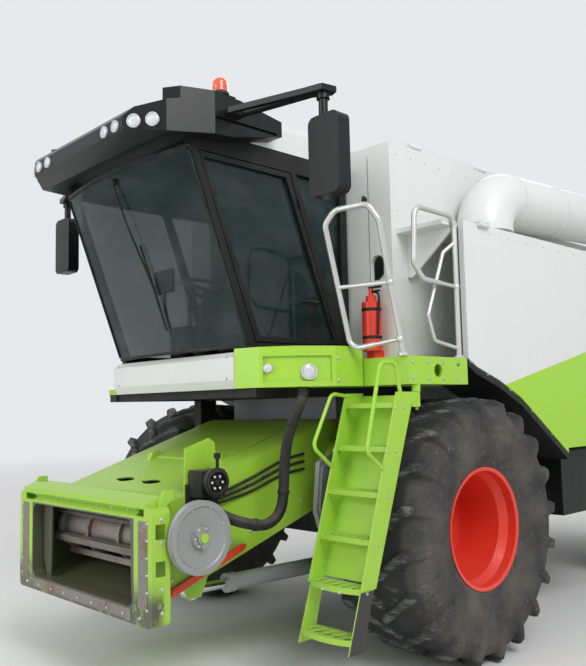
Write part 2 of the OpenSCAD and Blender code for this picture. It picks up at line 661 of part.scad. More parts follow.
// The grain tank: a hopper with walls, its floor sloping down to the cross auger.
module grain_tank() {
    color(white) difference() {
        block([tank_back_x, -tank_half_w, tank_low], [tank_front_x, tank_half_w, tank_top_z]);
        // The hopper's hollow narrows towards the floor
        cross_plate(tank_back_x + tank_wall, tank_front_x - tank_back_x - 2 * tank_wall,
            [[-tank_half_w + tank_wall, tank_top_z + 1], [-tank_half_w + tank_wall, 2900], [-420, 2160],
            [420, 2160], [tank_half_w - tank_wall, 2900], [tank_half_w - tank_wall, tank_top_z + 1]]);
        // Recess in the front wall on the left
        cross_plate(tank_front_x - 50, 51, concat(arc(1130, 2900, 65, 0, 180, 8), [[1065, 2770], [1195, 2770]]));
    }
    color(white) both_sides() for (x = lid_hinge_x) {
        translate([x - 76, lid_hinge_y, lid_hinge_z]) rotate([0, 90, 0]) cylinder(h = 152, r = lid_pin_r);
        for (s = [-1, 1]) block([x + s * 69 - 7, lid_hinge_y - 12, tank_top_z - 1],
            [x + s * 69 + 7, lid_hinge_y + 12, lid_hinge_z + 12]);
    }
}

lid_x = [tank_back_x + 60, tank_front_x - 60];
lid_hinge_x = [lid_x[0] + 300, (lid_x[0] + lid_x[1]) / 2, lid_x[1] - 300];
lid_pin_r = 8;

// One half of the tank's roof, hinged along its outer edge.
module tank_lid() {
    color(green) difference() {
        union() {
            side_plate(gap / 2, tank_half_w - 55, [[lid_x[0], tank_top_z + 0.5], [lid_x[1], tank_top_z + 0.5],
                [lid_x[1], tank_top_z + 12], [lid_x[1] - 40, tank_top_z + lid_t + 20],
                [lid_x[0] + 40, tank_top_z + lid_t + 20], [lid_x[0], tank_top_z + 12]]);
            for (x = lid_hinge_x) {
                translate([x - 60, lid_hinge_y, lid_hinge_z]) rotate([0, 90, 0]) cylinder(h = 120, r = 18);
                block([x - 59, tank_half_w - 60, lid_hinge_z - 8], [x + 59, lid_hinge_y, lid_hinge_z + 15]);
            }
        }
        for (x = lid_hinge_x) translate([x - 61, lid_hinge_y, lid_hinge_z]) rotate([0, 90, 0])
            cylinder(h = 122, r = lid_pin_r + 0.1);
    }
}

lid_hinge_y = tank_half_w - 25;
lid_hinge_z = tank_top_z + 28;

// Decks beside the tank at the side panels' upper edge, with the auger's turning base on the left one.
deck_t = 35;
deck_z = panel_top_z - 10;
turret_x = -600;
turret_y = 1520;
turret_r = 250;
deck_edge_y = body_half_w - panel_t - gap;

module tank_shoulders() {
    color(white) union() {
        both_sides() {
            difference() {
                block([tank_back_x, tank_half_w, deck_z - deck_t], [tank_front_x - 60, deck_edge_y, deck_z]);
                // A notch for the railing's post
                block([post_x - 40, deck_edge_y - 14, deck_z - deck_t - 1], [post_x + 40, deck_edge_y + 1, deck_z + 1]);
            }
            for (x = [tank_back_x + 100, (tank_back_x + tank_front_x) / 2, tank_front_x - 200])
                side_brace(x);
            for (i = [0, 1]) panel_ear(panel_hinge_x[i]);
        }
        translate([turret_x, turret_y, deck_z - 1]) difference() {
            cylinder(h = turret_h + 1, r = turret_r - 85);
            translate([0, 0, -200]) cylinder(h = turret_h + 400, r = 120);
        }
    }
}

turret_h = 30;

module side_brace(x) {
    cross_plate(x, 20, [[tank_half_w, deck_z - deck_t + 1], [tank_half_w, deck_z - deck_t - 330],
        [tank_half_w + 50, deck_z - deck_t - 330], [deck_edge_y - 20, deck_z - deck_t - 40],
        [deck_edge_y - 20, deck_z - deck_t + 1]]);
}

// Unloading auger: upright elbow on its turning base, then the long tube, rising a little to the rear

auger_rise = 2.5;
elbow_r = 300;
auger_wall = 8;
spout_r = 182;
spout_l = 200;
auger_base_z = deck_z + turret_h + 0.5;
auger_axis_z = auger_base_z + 20 + elbow_r;

module auger_tube() {
    color(green) difference() {
        union() {
            translate([turret_x, turret_y, auger_base_z]) cylinder(h = 20, r = turret_r - 20);
            translate([turret_x - elbow_r, turret_y, auger_base_z + 20]) rotate([90, 0, 0])
                rotate_extrude(angle = 90 - auger_rise) translate([elbow_r, 0]) circle(auger_r);
            along_auger() {
                cylinder(h = auger_l, r = auger_r);
                for (z = [0, 2300]) translate([0, 0, z]) cylinder(h = 24, r = auger_r + 9);
                translate([0, 0, auger_l - 230]) rotate([0, -90, 0]) cylinder(h = auger_r + spout_l, r = spout_r);
            }
        }
        along_auger() translate([0, 0, auger_l - 600]) cylinder(h = 580, r = auger_r - auger_wall);
        along_auger() translate([0, 0, auger_l - 230]) rotate([0, -90, 0])
            cylinder(h = auger_r + spout_l + 1, r = spout_r - 12);
    }
}

// Puts +Z along the auger's tube, starting where the elbow ends, with +X upwards.
module along_auger() {
    translate([turret_x - elbow_r, turret_y, auger_base_z + 20])
        rotate([0, auger_rise, 0]) translate([0, 0, elbow_r]) rotate([0, -90, 0]) children();
}

// Engine bay and rear

bay_front_x = tank_back_x;
bay_floor_z = rear_house_top + 30;
bay_half_w = tank_half_w - 20;
bay_top_z = deck_z + 270;
bay_wall = 25;

// The engine, under its hood behind the tank.
module engine() {
    color(grey) block([-3700, -450, bay_floor_z], [-2700, 450, bay_floor_z + 560]);
}

// The cover over the engine, with the side decks behind the tank and the auger's rest.
module engine_hood() {
    color(white) union() {
        difference() {
            side_plate(-bay_half_w, 2 * bay_half_w, [[bay_front_x, bay_floor_z], [bay_front_x, bay_top_z],
                [-3900, bay_top_z], [-4250, bay_top_z - 120], [panel_back_x, bay_top_z - 330], [panel_back_x, bay_floor_z]]);
            side_plate(-bay_half_w + bay_wall, 2 * (bay_half_w - bay_wall), [[bay_front_x - bay_wall, bay_floor_z - 1],
                [bay_front_x - bay_wall, bay_top_z - bay_wall], [-3890, bay_top_z - bay_wall],
                [-4230, bay_top_z - 120 - bay_wall], [panel_back_x + bay_wall, bay_top_z - 330 - bay_wall],
                [panel_back_x + bay_wall, bay_floor_z - 1]]);
            // Louvres on the left side and over the rear slope
            for (i = [0 : louvre_n - 1]) block([louvre_x - i * 90, bay_half_w - 12, deck_z + 45],
                [louvre_x - i * 90 + 44, bay_half_w + 1, bay_top_z - 70]);
            for (i = [0 : 4], s = [-1, 1]) block([-3960 - i * 55, s * 620 - 420, bay_top_z - 170],
                [-3930 - i * 55, s * 620 + 420, bay_top_z + 10]);
            // Opening for the rotary screen on the right
            translate([screen_x, -bay_half_w - 1, screen_z]) rotate([-90, 0, 0]) cylinder(h = bay_wall + 2, r = screen_r);
        }
        both_sides() {
            block([panel_back_x, bay_half_w - 1, deck_z - deck_t], [bay_front_x, deck_edge_y, deck_z]);
            panel_ear(panel_hinge_x[2]);
        }
        translate([screen_x, -bay_half_w, screen_z]) rotate([90, 0, 0]) difference() {
            cylinder(h = 70, r = screen_r + 20);
            translate([0, 0, -1]) cylinder(h = 50, r = screen_r);
        }
        // The exhaust's outlet, cut slanting
        difference() {
            translate([-3500, -900, bay_top_z - 5]) cylinder(h = 330, r = exhaust_r);
            translate([-3500, -900, bay_top_z]) cylinder(h = 340, r = exhaust_r - 6);
            translate([-3500, -900, bay_top_z + 300]) rotate([0, 25, 0]) translate([-300, -150, 0]) cube([600, 300, 200]);
        }
        // The rest has an inner lip only, so that the tube can swing outwards
        rest_z = auger_axis_z + (turret_x - elbow_r - rest_x - 30) * tan(auger_rise) - auger_r - gap - 2;
        rest_y = turret_y - auger_r - 2 * gap;
        cross_plate(rest_x - 30, 60, [[turret_y + 160, deck_z - 1], [turret_y + 160, rest_z], [rest_y + 60, rest_z],
            [rest_y, rest_z + 120], [rest_y, rest_z + 200], [rest_y - 20, rest_z + 200], [rest_y - 20, deck_z - 1]]);
    }
}

louvre_n = 12;
louvre_x = -2600;
exhaust_r = 80;
rest_x = -4150;
screen_x = -3250;
screen_z = 3230;
screen_r = 150;

hood_half_w = 1400;
hood_wall = 30;

// The straw hood: the sloping green tail, open below for the straw.
module straw_hood() {
    color(green) union() {
        difference() {
            side_plate(-hood_half_w, 2 * hood_half_w, hood_outline(0));
            side_plate(-hood_half_w + hood_wall, 2 * (hood_half_w - hood_wall), hood_outline(hood_wall));
            block([hood_back_x + 180, -hood_half_w + hood_wall, 1200], [panel_back_x - 50, hood_half_w - hood_wall, 1700]);
            // The groove round the rear door, and grooves along the sides
            difference() {
                block([hood_back_x - 1, -940, 1740], [hood_back_x + 9, 940, 2330]);
                block([hood_back_x - 2, -920, 1760], [hood_back_x + 10, 920, 2310]);
            }
            for (s = [-1, 1], z = [1760, 2300]) block([-5950, s * hood_half_w - 8, z], [-4650, s * hood_half_w + 8, z + 14]);
            // Where the separator's housing passes the front wall
            block([panel_back_x - 60, -rear_house_y, 1400], [panel_back_x, rear_house_y, rear_house_top]);
        }
        // The frame that joins the hood to the rear face of the separator's housing
        difference() {
            block([house_back_x - 8, -hood_half_w + 1, 1560], [house_back_x, hood_half_w - 1, rear_house_top]);
            block([house_back_x - 9, -600, 1600], [house_back_x + 1, 600, rear_house_top - 100]);
        }
    }
}

function hood_outline(inset) = [
    [panel_back_x - 8 - inset, 1500 + inset], [panel_back_x - 8 - inset, 3010 - inset],
    [panel_back_x - 300, 3010 - inset], [hood_back_x + 500 + inset * 0.3, 2720 - inset],
    [hood_back_x + 60 + inset, 2480 - inset], [hood_back_x + inset, 2380 - inset], [hood_back_x + inset, 1640 + inset],
    [hood_back_x + 120 + inset, 1500 + inset]];

// The straw chopper below the hood, with its spreader plate.
module chopper() {
    color(black) union() {
        side_plate(-700, 1400, [[house_back_x, 1499], [house_back_x, 1260], [-4900, 1110], [-5180, 1000], [-5500, 1080], [-5600, 1499]]);
        side_plate(-820, 1640, [[-5480, 1200], [-5480, 1230], [-6120, 1130], [-6120, 1100]]);
        for (y = [-800, -400, 0, 400, 800]) side_plate(y - 6, 12, [[-5500, 1120], [-5500, 1202], [-6100, 1102], [-6100, 1010]]);
    }
}

// The curved guards behind the front tyres.
guard_points = [[48, 2125], [-60, 2065], [-350, 1970], [-660, 1830], [-1360, 1370]];
guard_t = 40;

module mudguards() {
    color(black) both_sides() {
        side_plate(tank_half_w, body_half_w - tank_half_w, concat(guard_points,
            [for (i = [len(guard_points) - 1 : -1 : 0]) guard_points[i] + [12, -guard_t]]));
        // The dark box behind the tyre
        block([-2250, rail_y + rail_w, 850], [-1420, 1640, 1390]);
    }
}

platform_front_x = 750;
platform_back_x = 70;
platform_low = cab_floor_z - 50;
platform_high = 2140;

// The platform beside the cab, with its round-cornered holes in the outer face.
module platform() {
    color(green) union() {
        difference() {
            union() {
                block([platform_back_x, tank_half_w + gap, platform_low], [platform_front_x, body_half_w, platform_high]);
                block([tank_front_x + 5, rail_y, platform_low], [platform_front_x, tank_half_w + gap + 1, platform_high]);
            }
            block([platform_back_x + 20, tank_half_w + gap + 20, platform_low - 1],
                [platform_front_x - 20, body_half_w - 20, platform_high - 25]);
            for (hole = [[420, 2045, 45], [640, 2020, 16], [180, 2090, 16]])
                translate([hole.x, body_half_w - 21, hole.y]) rotate([-90, 0, 0]) cylinder(h = 22, r = hole.z);
        }
        mirror([0, 1, 0]) block([tank_front_x + 5, rail_y, platform_low], [1100, 1500, platform_low + 60]);
        // Hinge pin of the ladder
        translate([ladder_pin.x, ladder_pin.y, 1780]) cylinder(h = platform_high - 1790, r = ladder_pin_r);
        translate([ladder_pin.x, ladder_pin.y, 1901]) cylinder(h = platform_high - 1911, r = 30);
    }
}

// Handrails: a gate-like loop at the platform's front, a double loop and post at its side.
rail_r = 19;
post_x = 110;

module railings() {
    z = platform_high;
    y = body_half_w - 38;
    front_foot = [748, y, z];
    low_left = [875, 1360, z + 60];
    low_right = [780, y + 2, z + 110];
    color(steel) union() {
        for (p = [front_foot, [post_x, y, z]]) translate(p) rotate(50) cylinder(h = 18, r = 38);
        pipe([front_foot + [0, 0, 9], [990, 1740, z + 880], [1040, 1690, z + 990], [1080, 1430, z + 990],
            [1105, 1360, z + 900], low_left, (low_left + low_right) / 2], rail_r, 75);
        bar(0.55 * low_left + 0.45 * low_right, low_right);
        bar([990, 1360, z + 480], [879, y + 16, z + 480]);
        pipe([[post_x, y, z + 9], [post_x, y, z + 1040], [575, y, z + 1050], [600, y, z + 640], [500, y, z + 540],
            [300, y, z + 530]], rail_r, 80);
        bar([310, y, z + 530.5], [post_x, y, z + 520.5]);
        pipe([[post_x, y, z + 850], [200, y - 42, z + 770], [405, y - 42, z + 300], [340, y - 42, z + 120],
            [post_x, y, z + 70]], bar_r, 50);
    }
}

bar_r = 14;
knob_r = 25;

// A bar between two rails, with a small ball over its joint with the rail at the far end.
module bar(a, b) {
    rod(a, b - unit(b - a) * (rail_r + 1), bar_r);
    translate(b) sphere(knob_r);
}

// Front: the white hood under the windscreen and the green lamp panel on the left
hood_x = 1460;
nose_low = cab_floor_z - 50;
nose_high = 2205;

module front_hood() {
    color(white) side_plate(-cab_half_w + 55, 2 * cab_half_w - 110, [[1252, nose_low], [hood_x - 30, nose_low],
        [hood_x, nose_low + 60], [hood_x, nose_high - 40], [hood_x - 50, nose_high], [1360, nose_high],
        [1300, cab_floor_z], [1252, cab_floor_z]]);
}

panel_plan = [[1455, 798], [1400, 1000], [1250, 1200], [1000, 1330], [760, 1360], [756, 900], [1372, 862], [1372, 798]];

module lamp_panel() {
    color(green) difference() {
        translate([0, 0, nose_low]) linear_extrude(nose_high + 20 - nose_low) polygon(panel_plan);
        translate([0, 0, nose_low + 12]) linear_extrude(nose_high - nose_low - 14)
            polygon([[1385, 900], [1365, 975], [1225, 1165], [985, 1290], [785, 1320], [785, 930], [1360, 895]]);
        translate([0, 0, nose_low + 38]) linear_extrude(170) polygon(lamp_recess);
    }
}

// The recess that holds the lamps follows two faces of the panel, lamp_recess_t deep.
lamp_recess_t = 16;
lamp_recess = [[1372, 1010], [1389, 1023], [1255, 1206], [1029, 1321], [1019, 1302], [1239, 1187]];
face_a = unit([200, 150]);
face_b = unit([130, 250]);
big_lamp = [1170, 1241.6, 2050];
small_lamp = [1365.8, 1045.6, 2080];

// A lamp that stands in the recess, its outward direction n, with a glass that steps back.
module recess_lamp(place, n, r, t) {
    translate([place.x - n.x * lamp_recess_t, place.y - n.y * lamp_recess_t, place.z]) aim([n.x, n.y, 0])
        difference() {
            cylinder(h = t, r = r);
            translate([0, 0, t - 5]) cylinder(h = 6, r = r - 8);
        }
}

// Cab
pillar_slope = pillar_lean / (glass_high_z - glass_low_z);
pillar_angle = atan(pillar_slope);
cab_back_x = 330;
cab_frame_t = 60;
cab_top_z = 3700;
front_low_x = 1350;
door_low_z = 2270;
door_high_z = 3560;
door_back_x = 505;
door_gap = 8;
window_back_x = 400;

function lean_x(x, z, z_ref) = x + pillar_slope * (z - z_ref);

cab_outline = [[cab_back_x, cab_floor_z], [front_low_x - 60, cab_floor_z], [front_low_x, glass_low_z],
    [front_low_x + pillar_lean, glass_high_z], [front_low_x + pillar_lean, cab_top_z], [cab_back_x, cab_top_z]];

// The opening between the front pillar and the door's rear edge, drawn in by inset.
function door_hole(inset) = [
    [lean_x(front_low_x, door_low_z, glass_low_z) - 62 - inset, door_low_z + inset],
    [lean_x(front_low_x, door_high_z, glass_low_z) - 62 - inset, door_high_z - inset],
    [lean_x(door_back_x, door_high_z, 2400) + inset, door_high_z - inset],
    [lean_x(door_back_x, door_low_z, 2400) + inset, door_low_z + inset]];

rear_window = [[window_back_x, 2650], [lean_x(door_back_x, 2650, 2400) - 55, 2650],
    [lean_x(door_back_x, door_high_z, 2400) - 55, door_high_z], [window_back_x, door_high_z]];

// The cab's frame: sides with their openings, rear wall, floor and roof frame.
module cab_shell() {
    y_in = cab_half_w - cab_frame_t;
    color(black) union() {
        difference() {
            side_plate(-cab_half_w, 2 * cab_half_w, cab_outline);
            side_plate(-y_in, 2 * y_in, [[cab_back_x + 50, cab_floor_z + 40], [front_low_x - 40, cab_floor_z + 40],
                [front_low_x + 30, glass_low_z], [front_low_x + pillar_lean + 60, glass_high_z + 20],
                [front_low_x + pillar_lean - 60, cab_top_z - 60], [cab_back_x + 50, cab_top_z - 60]]);
            // Windscreen opening
            block([front_low_x - 100, -y_in, glass_low_z], [front_low_x + pillar_lean + 10, y_in, glass_high_z]);
            both_sides() {
                side_plate(y_in - 1, cab_frame_t + 2, door_hole(0));
                side_plate(y_in - 1, cab_frame_t + 2, rear_window);
            }
            block([cab_back_x - 1, -560, 2750], [cab_back_x + 51, 560, 3480]);
        }
        door_ears();
    }
}

// The windscreen, bowed forwards and leaning with the pillars.
screen_bow = 85;
screen_half_w = cab_half_w - 5;

module windscreen() {
    bow_r = (pow(screen_half_w, 2) + pow(screen_bow, 2)) / (2 * screen_bow);
    color(grey) intersection() {
        translate([front_low_x + seat_gap, 0, glass_low_z]) rotate([0, pillar_angle, 0])
            translate([screen_bow - bow_r, 0, -300]) difference() {
                cylinder(h = 2200, r = bow_r + glass_t, $fn = 720);
                translate([0, 0, -1]) cylinder(h = 2202, r = bow_r, $fn = 720);
            }
        block([front_low_x - 10, -screen_half_w, glass_low_z + 2],
            [front_low_x + pillar_lean + 200, screen_half_w, glass_high_z - 2]);
    }
}

// The fixed panes: the right side, the small rear sides and the rear wall.
module cab_glass() {
    y = cab_half_w - 35;
    color(grey) union() {
        side_plate(-y, glass_t, door_hole(0));
        for (side = [0, 1]) mirror([0, side, 0]) side_plate(y - glass_t, glass_t, rear_window);
        block([cab_back_x + 20, -560, 2750], [cab_back_x + 20 + glass_t, 560, 3480]);
    }
}

// The left door: a frame round its pane, hinged along its leaning rear edge.
door_rim = 38;

module door() {
    y = cab_half_w - 50;
    color(black) union() {
        difference() {
            side_plate(y, 50, door_hole(door_gap));
            side_plate(y - 1, 52, door_hole(door_gap + door_rim));
            // The lower rear corner swings down as the door opens
            side_plate(y - 1, 52, [[door_back_x - 60, door_low_z - 1], [door_back_x + 230, door_low_z - 1],
                [door_back_x + 230, door_low_z + door_gap], [door_back_x - 60, door_low_z + door_gap + 18]]);
        }
        for (z = door_hinge_z) on_door_axis(z) difference() {
            union() {
                translate([0, 0, -20]) cylinder(h = 40, r = 11);
                block([0, -door_hinge_out - 1, -19], [34, 3 - door_hinge_out, 19]);
                block([0, -door_hinge_out - 1, -19], [9, 0, 19]);
            }
            translate([0, 0, -21]) cylinder(h = 42, r = 5.1);
        }
    }
}

door_hinge_z = [2480, 3330];
door_hinge_out = 12;

// Puts +Z along the leaning axis of the door's hinges, with the origin at height z and +X forwards.
module on_door_axis(z) {
    translate([lean_x(door_back_x + door_gap / 2, z, 2400), cab_half_w + door_hinge_out, z])
        rotate([0, pillar_angle, 0]) children();
}

// The frame's halves of the door hinges.
module door_ears() {
    for (z = door_hinge_z) on_door_axis(z) {
        translate([0, 0, -34]) cylinder(h = 68, r = 5);
        for (s = [-1, 1]) translate([0, 0, s * 28 - 7]) {
            cylinder(h = 14, r = 11);
            block([-34, -door_hinge_out - 1, 1], [0, 3 - door_hinge_out, 13]);
            block([-9, -door_hinge_out - 1, 1], [0, 0, 13]);
        }
    }
}

module door_glass() {
    color(grey) side_plate(cab_half_w - 35, glass_t, door_hole(door_gap + door_rim));
}

roof_z = 3950;

// The white roof cap.
module roof_cap() {
    color(white) intersection() {
        side_plate(-cab_half_w, 2 * cab_half_w, concat([[tank_front_x + 8, cab_top_z]], [[tank_front_x + 8, roof_z - 60],
            [tank_front_x + 70, roof_z]], [[1500, roof_z], [1750, roof_z - 40], [1850, roof_z - 110], [1850, cab_top_z]]));
        cross_plate(tank_front_x, 1600, [[-cab_half_w, cab_top_z - 1], [cab_half_w, cab_top_z - 1], [cab_half_w, roof_z - 90],
            [cab_half_w - 90, roof_z + 1], [-cab_half_w + 90, roof_z + 1], [-cab_half_w, roof_z - 90]]);
    }
}

visor_top_z = 3912;
pod_top_z = visor_top_z + 20;
visor_plan = [[1150, -1000], [1750, -1000], [2060, -890], [visor_front_x, -640], [visor_front_x, 640], [2060, 890],
    [1750, 1000], [1150, 1000]];
// The slanted face at each front corner carries two lamps
pod_low = [2060, 890];
pod_front = [visor_front_x, 640];
pod_normal = [pod_low.y - pod_front.y, pod_front.x - pod_low.x, 0];
pod_lamp_z = 3690;
function pod_face(t) = [pod_low.x + (pod_front.x - pod_low.x) * t, pod_low.y + (pod_front.y - pod_low.y) * t, pod_lamp_z];

// The black visor round the roof's front, with a raised pod at each corner and a lip that shades the glass.
module roof_visor() {
    color(black) difference() {
        union() {
            intersection() {
                translate([0, 0, 3600]) linear_extrude(320) polygon(visor_plan);
                side_plate(-1100, 2200, [[1150, 3740], [1600, 3640], [2050, 3610], [visor_front_x, 3640],
                    [visor_front_x, 3735], [2190, 3790], [1900, 3860], [1740, visor_top_z], [1540, visor_top_z],
                    [1150, 3850]]);
            }
            both_sides() translate([0, 0, 3700]) linear_extrude(pod_top_z - 3700)
                polygon([[1560, 870], [1560, 985], [1740, 985], [1960, 905], [2030, 800], [1960, 700], [1860, 700]]);
        }
        block([1000, -cab_half_w, 3500], [front_low_x + pillar_lean, cab_half_w, 4000]);
        block([1860, -600, 3790], [2300, 600, 4000]);
        // The groove between the visor and its lower lip
        both_sides() block([1200, 975, 3735], [1740, 1001, 3755]);
    }
}

// Lamps: in the visor, on the pods, in the lamp panel and at the rear.
visor_lamp_y = [560, 420];
visor_lamp_z = 3685;
pod_lamp_r = 46;
rear_lamp_y = 1150;
rear_lamp_z = [1900, 2000];

module lamps() {
    color(steel) union() {
        for (side = [-1, 1], y = visor_lamp_y) translate([visor_front_x, side * y, visor_lamp_z]) rotate([0, 90, 0])
            difference() {
                cylinder(h = visor_lamp_t, r = 40);
                translate([0, 0, visor_lamp_t - 4]) cylinder(h = 5, r = 33);
            }
        both_sides() {
            for (t = [0.3, 0.72]) translate(pod_face(t)) aim(pod_normal) difference() {
                cylinder(h = 18, r = pod_lamp_r);
                translate([0, 0, 13]) cylinder(h = 6, r = pod_lamp_r - 7);
            }
            for (i = [0 : 2]) translate([hood_back_x, rear_lamp_y - 80 + 80 * i, (rear_lamp_z[0] + rear_lamp_z[1]) / 2])
                rotate([0, -90, 0]) cylinder(h = rear_lamp_t, r = 34);
        }
        recess_lamp(big_lamp, face_b, 54, 26);
        recess_lamp(small_lamp, face_a, 30, 20);
    }
}

module beacon() {
    color(red) translate([1650, 930, pod_top_z]) {
        cylinder(h = 25, r = 45);
        translate([0, 0, 24]) cylinder(h = 90, r = 38);
        translate([0, 0, 113]) cylinder(h = 18, r = 24);
    }
}

// Mirrors on their cast arms, out from the visor's corners.
mirror_x = 1420;
mirror_y = 1720;
mirror_w = 260;
mirror_low = 3110;
mirror_high = 3620;
arm_low = 3770;

module mirrors() {
    color(black) both_sides() {
        difference() {
            cross_plate(mirror_x - 52, 104, round_rect([mirror_y - mirror_w / 2, mirror_low],
                [mirror_y + mirror_w / 2, mirror_high], 48));
            // The glass lies back from the housing's rear edge
            cross_plate(mirror_x - 53, 13, round_rect([mirror_y - mirror_w / 2 + 14, mirror_low + 14],
                [mirror_y + mirror_w / 2 - 14, mirror_high - 14], 36));
        }
        difference() {
            translate([0, 0, arm_low]) linear_extrude(38) polygon([[1548, 1000.2], [1672, 1000.2], [1690, 1060], [1520, 1620],
                [1490, 1740], [1380, 1760], [1360, 1700], [1430, 1600], [1552, 1060]]);
            translate([0, 0, arm_low - 1]) linear_extrude(40) polygon([[1592, 1080], [1648, 1080], [1510, 1500], [1478, 1500]]);
        }
        translate([mirror_x + 10, mirror_y - 30, mirror_high - 6]) cylinder(h = arm_low - mirror_high + 12, r = 30);
        translate([mirror_x + 10, mirror_y - 30, arm_low - 40]) cylinder(h = 41, r = 42);
    }
}

module seat() {
    color(black) union() {
        block([620, -180, cab_floor_z + 40], [900, 180, cab_floor_z + 380]);
        block([520, -260, cab_floor_z + 380], [1020, 260, cab_floor_z + 520]);
        side_plate(-250, 500, [[520, cab_floor_z + 519], [660, cab_floor_z + 519], [560, cab_floor_z + 1150],
            [440, cab_floor_z + 1150]]);
    }
}

module steering_column() {
    color(black) union() {
        translate([1180, 0, cab_floor_z + 40]) cylinder(h = 30, r = 120);
        rod([1180, 0, cab_floor_z + 60], [1048, 0, cab_floor_z + 760], 55);
        translate([1045, 0, cab_floor_z + 760]) rotate([0, -20, 0]) rotate_extrude() translate([200, 0]) circle(16);
        translate([1045, 0, cab_floor_z + 760]) rotate([0, -20, 0]) for (a = [90, 210, 330]) rotate(a)
            translate([0, -18, -8]) cube([200, 36, 16]);
    }
}

module extinguisher() {
    color(red) translate([tank_front_x + 85, 1130, platform_high]) {
        translate([0, 0, 80]) cylinder(h = 370, r = 72);
        translate([0, 0, 449]) cylinder(h = 50, r = 40);
        translate([0, 0, 498]) cylinder(h = 60, r = 18);
        block([-85, -40, 0], [20, 40, 90]);
    }
}

guard_plan = [[620, 1000], [700, 920], [860, 960], [900, 1080], [860, 1420], [740, 1480], [640, 1400]];
guard_mid = [760, 1200];

// The hexagonal grey guard over the drive to the feeder house, left of it.
module drive_guard() {
    color(grey) union() {
        side_plate(970, 40, guard_plan);
        side_plate(1009, 14, [for (p = guard_plan) guard_mid + (p - guard_mid) * 0.84]);
        block([400, rail_y + rail_w, rail_low + 60], [500, 971, rail_high]);
        block([400, 970, rail_low + 60], [700, 985, rail_high]);
    }
}

// Ladder to the platform, hinged at its outer rear corner to swing clear of the wheel.
ladder_y = [1283, 1745];
ladder_pin = [640, 1722];
ladder_pin_r = 12;
plate_t = 14;
// Heights of the ladder's top, of the knee where its plates change, and of its foot
ladder_z = [1900, 700, 345];
ladder_front_x = [868, 1265, 1385];
ladder_back_x = [690, 1132, 1237];
step_n = 6;
step_top_z = 1830;
step_pitch = 280;
step_bow = 45;
slots_across = 5;
loop_r = 13;

// Where a ladder's edge, given by its x at the three heights, is at height z.
function edge_x(edge, z) = z > ladder_z[1]
    ? edge[0] + (edge[1] - edge[0]) * (ladder_z[0] - z) / (ladder_z[0] - ladder_z[1])
    : edge[1] + (edge[2] - edge[1]) * (ladder_z[1] - z) / (ladder_z[1] - ladder_z[2]);

// The plan of a tread, drawn in by inset, its front edge bowed forward by bow.
function tread_plan(z, bow, inset) = let (
    half = (ladder_y[1] - ladder_y[0]) / 2 - plate_t + 1 - inset,
    mid = (ladder_y[0] + ladder_y[1]) / 2,
    back = edge_x(ladder_back_x, z) + 8 + inset,
    front = edge_x(ladder_front_x, z) - 8 - inset,
    r = (half * half + bow * bow) / (2 * bow),
    a = asin(half / r))
    concat([[back, mid + half], [back, mid - half]],
        [for (i = [0 : 8]) let (t = -a + 2 * a * i / 8) [front + bow - r + r * cos(t), mid + r * sin(t)]]);

// A tread with a turned down lip all round and a lattice of openings.
module tread(z, bow) {
    back = edge_x(ladder_back_x, z);
    pitch = (ladder_y[1] - ladder_y[0] - 60) / slots_across;
    difference() {
        translate([0, 0, z - 34]) linear_extrude(34) polygon(tread_plan(z, bow, 0));
        translate([0, 0, z - 35]) linear_extrude(29) polygon(tread_plan(z, bow, 7));
        for (i = [0 : slots_across - 1], row = [0, 1])
            translate([back + 62 + row * 52, ladder_y[0] + 30 + pitch * (i + 0.5), z - 7]) rotate([0, 0, 45])
                translate([-22, -22, 0]) cube([44, 44, 8]);
    }
}

module ladder() {
    loop_y = [ladder_y[0] + plate_t / 2, ladder_y[1] - plate_t / 2];
    color(green) union() {
        for (y = [ladder_y[0], ladder_y[1] - plate_t]) side_plate(y, plate_t, [[ladder_back_x[0], ladder_z[0]],
            [ladder_front_x[0], ladder_z[0]], [ladder_front_x[1], ladder_z[1]], [ladder_back_x[1], ladder_z[1]]]);
        // The darker plates that carry the lowest tread
        for (y = [ladder_y[0] + plate_t - 1, ladder_y[1] - plate_t - 9])
            side_plate(y, 10, [[edge_x(ladder_back_x, 770) + 12, 770], [edge_x(ladder_front_x, 770) - 12, 770],
                [ladder_front_x[2] - 8, ladder_z[2]], [ladder_back_x[2] + 8, ladder_z[2]]]);
        // The sheet behind the treads
        side_plate(ladder_y[0] + plate_t - 1, ladder_y[1] - ladder_y[0] - 2 * plate_t + 2,
            [[edge_x(ladder_back_x, 1880) + 3, 1880], [edge_x(ladder_back_x, 720) + 3, 720],
            [edge_x(ladder_back_x, 720) + 10, 720], [edge_x(ladder_back_x, 1880) + 10, 1880]]);
        for (i = [0 : step_n - 1]) tread(step_top_z - i * step_pitch, i < 4 ? 12 : step_bow);
        pipe([[845, loop_y[0], 1880], [1010, loop_y[0], 1900], [1200, loop_y[0], 1552], [1015, loop_y[0], 1405]],
            loop_r, 60);
        pipe([[825, loop_y[1], 1880], [870, loop_y[1], 2090], [1020, loop_y[1], 2090], [1175, loop_y[1], 1530],
            [1012, loop_y[1], 1400]], loop_r, 55);
        difference() {
            union() {
                translate([ladder_pin.x, ladder_pin.y, 1800]) cylinder(h = 100, r = 26);
                block([ladder_pin.x, ladder_pin.y - 10, 1800], [715, ladder_y[1] - 1, 1899]);
            }
            translate([ladder_pin.x, ladder_pin.y, 1799]) cylinder(h = 102, r = ladder_pin_r + 0.1);
        }
    }
}

// Side panels

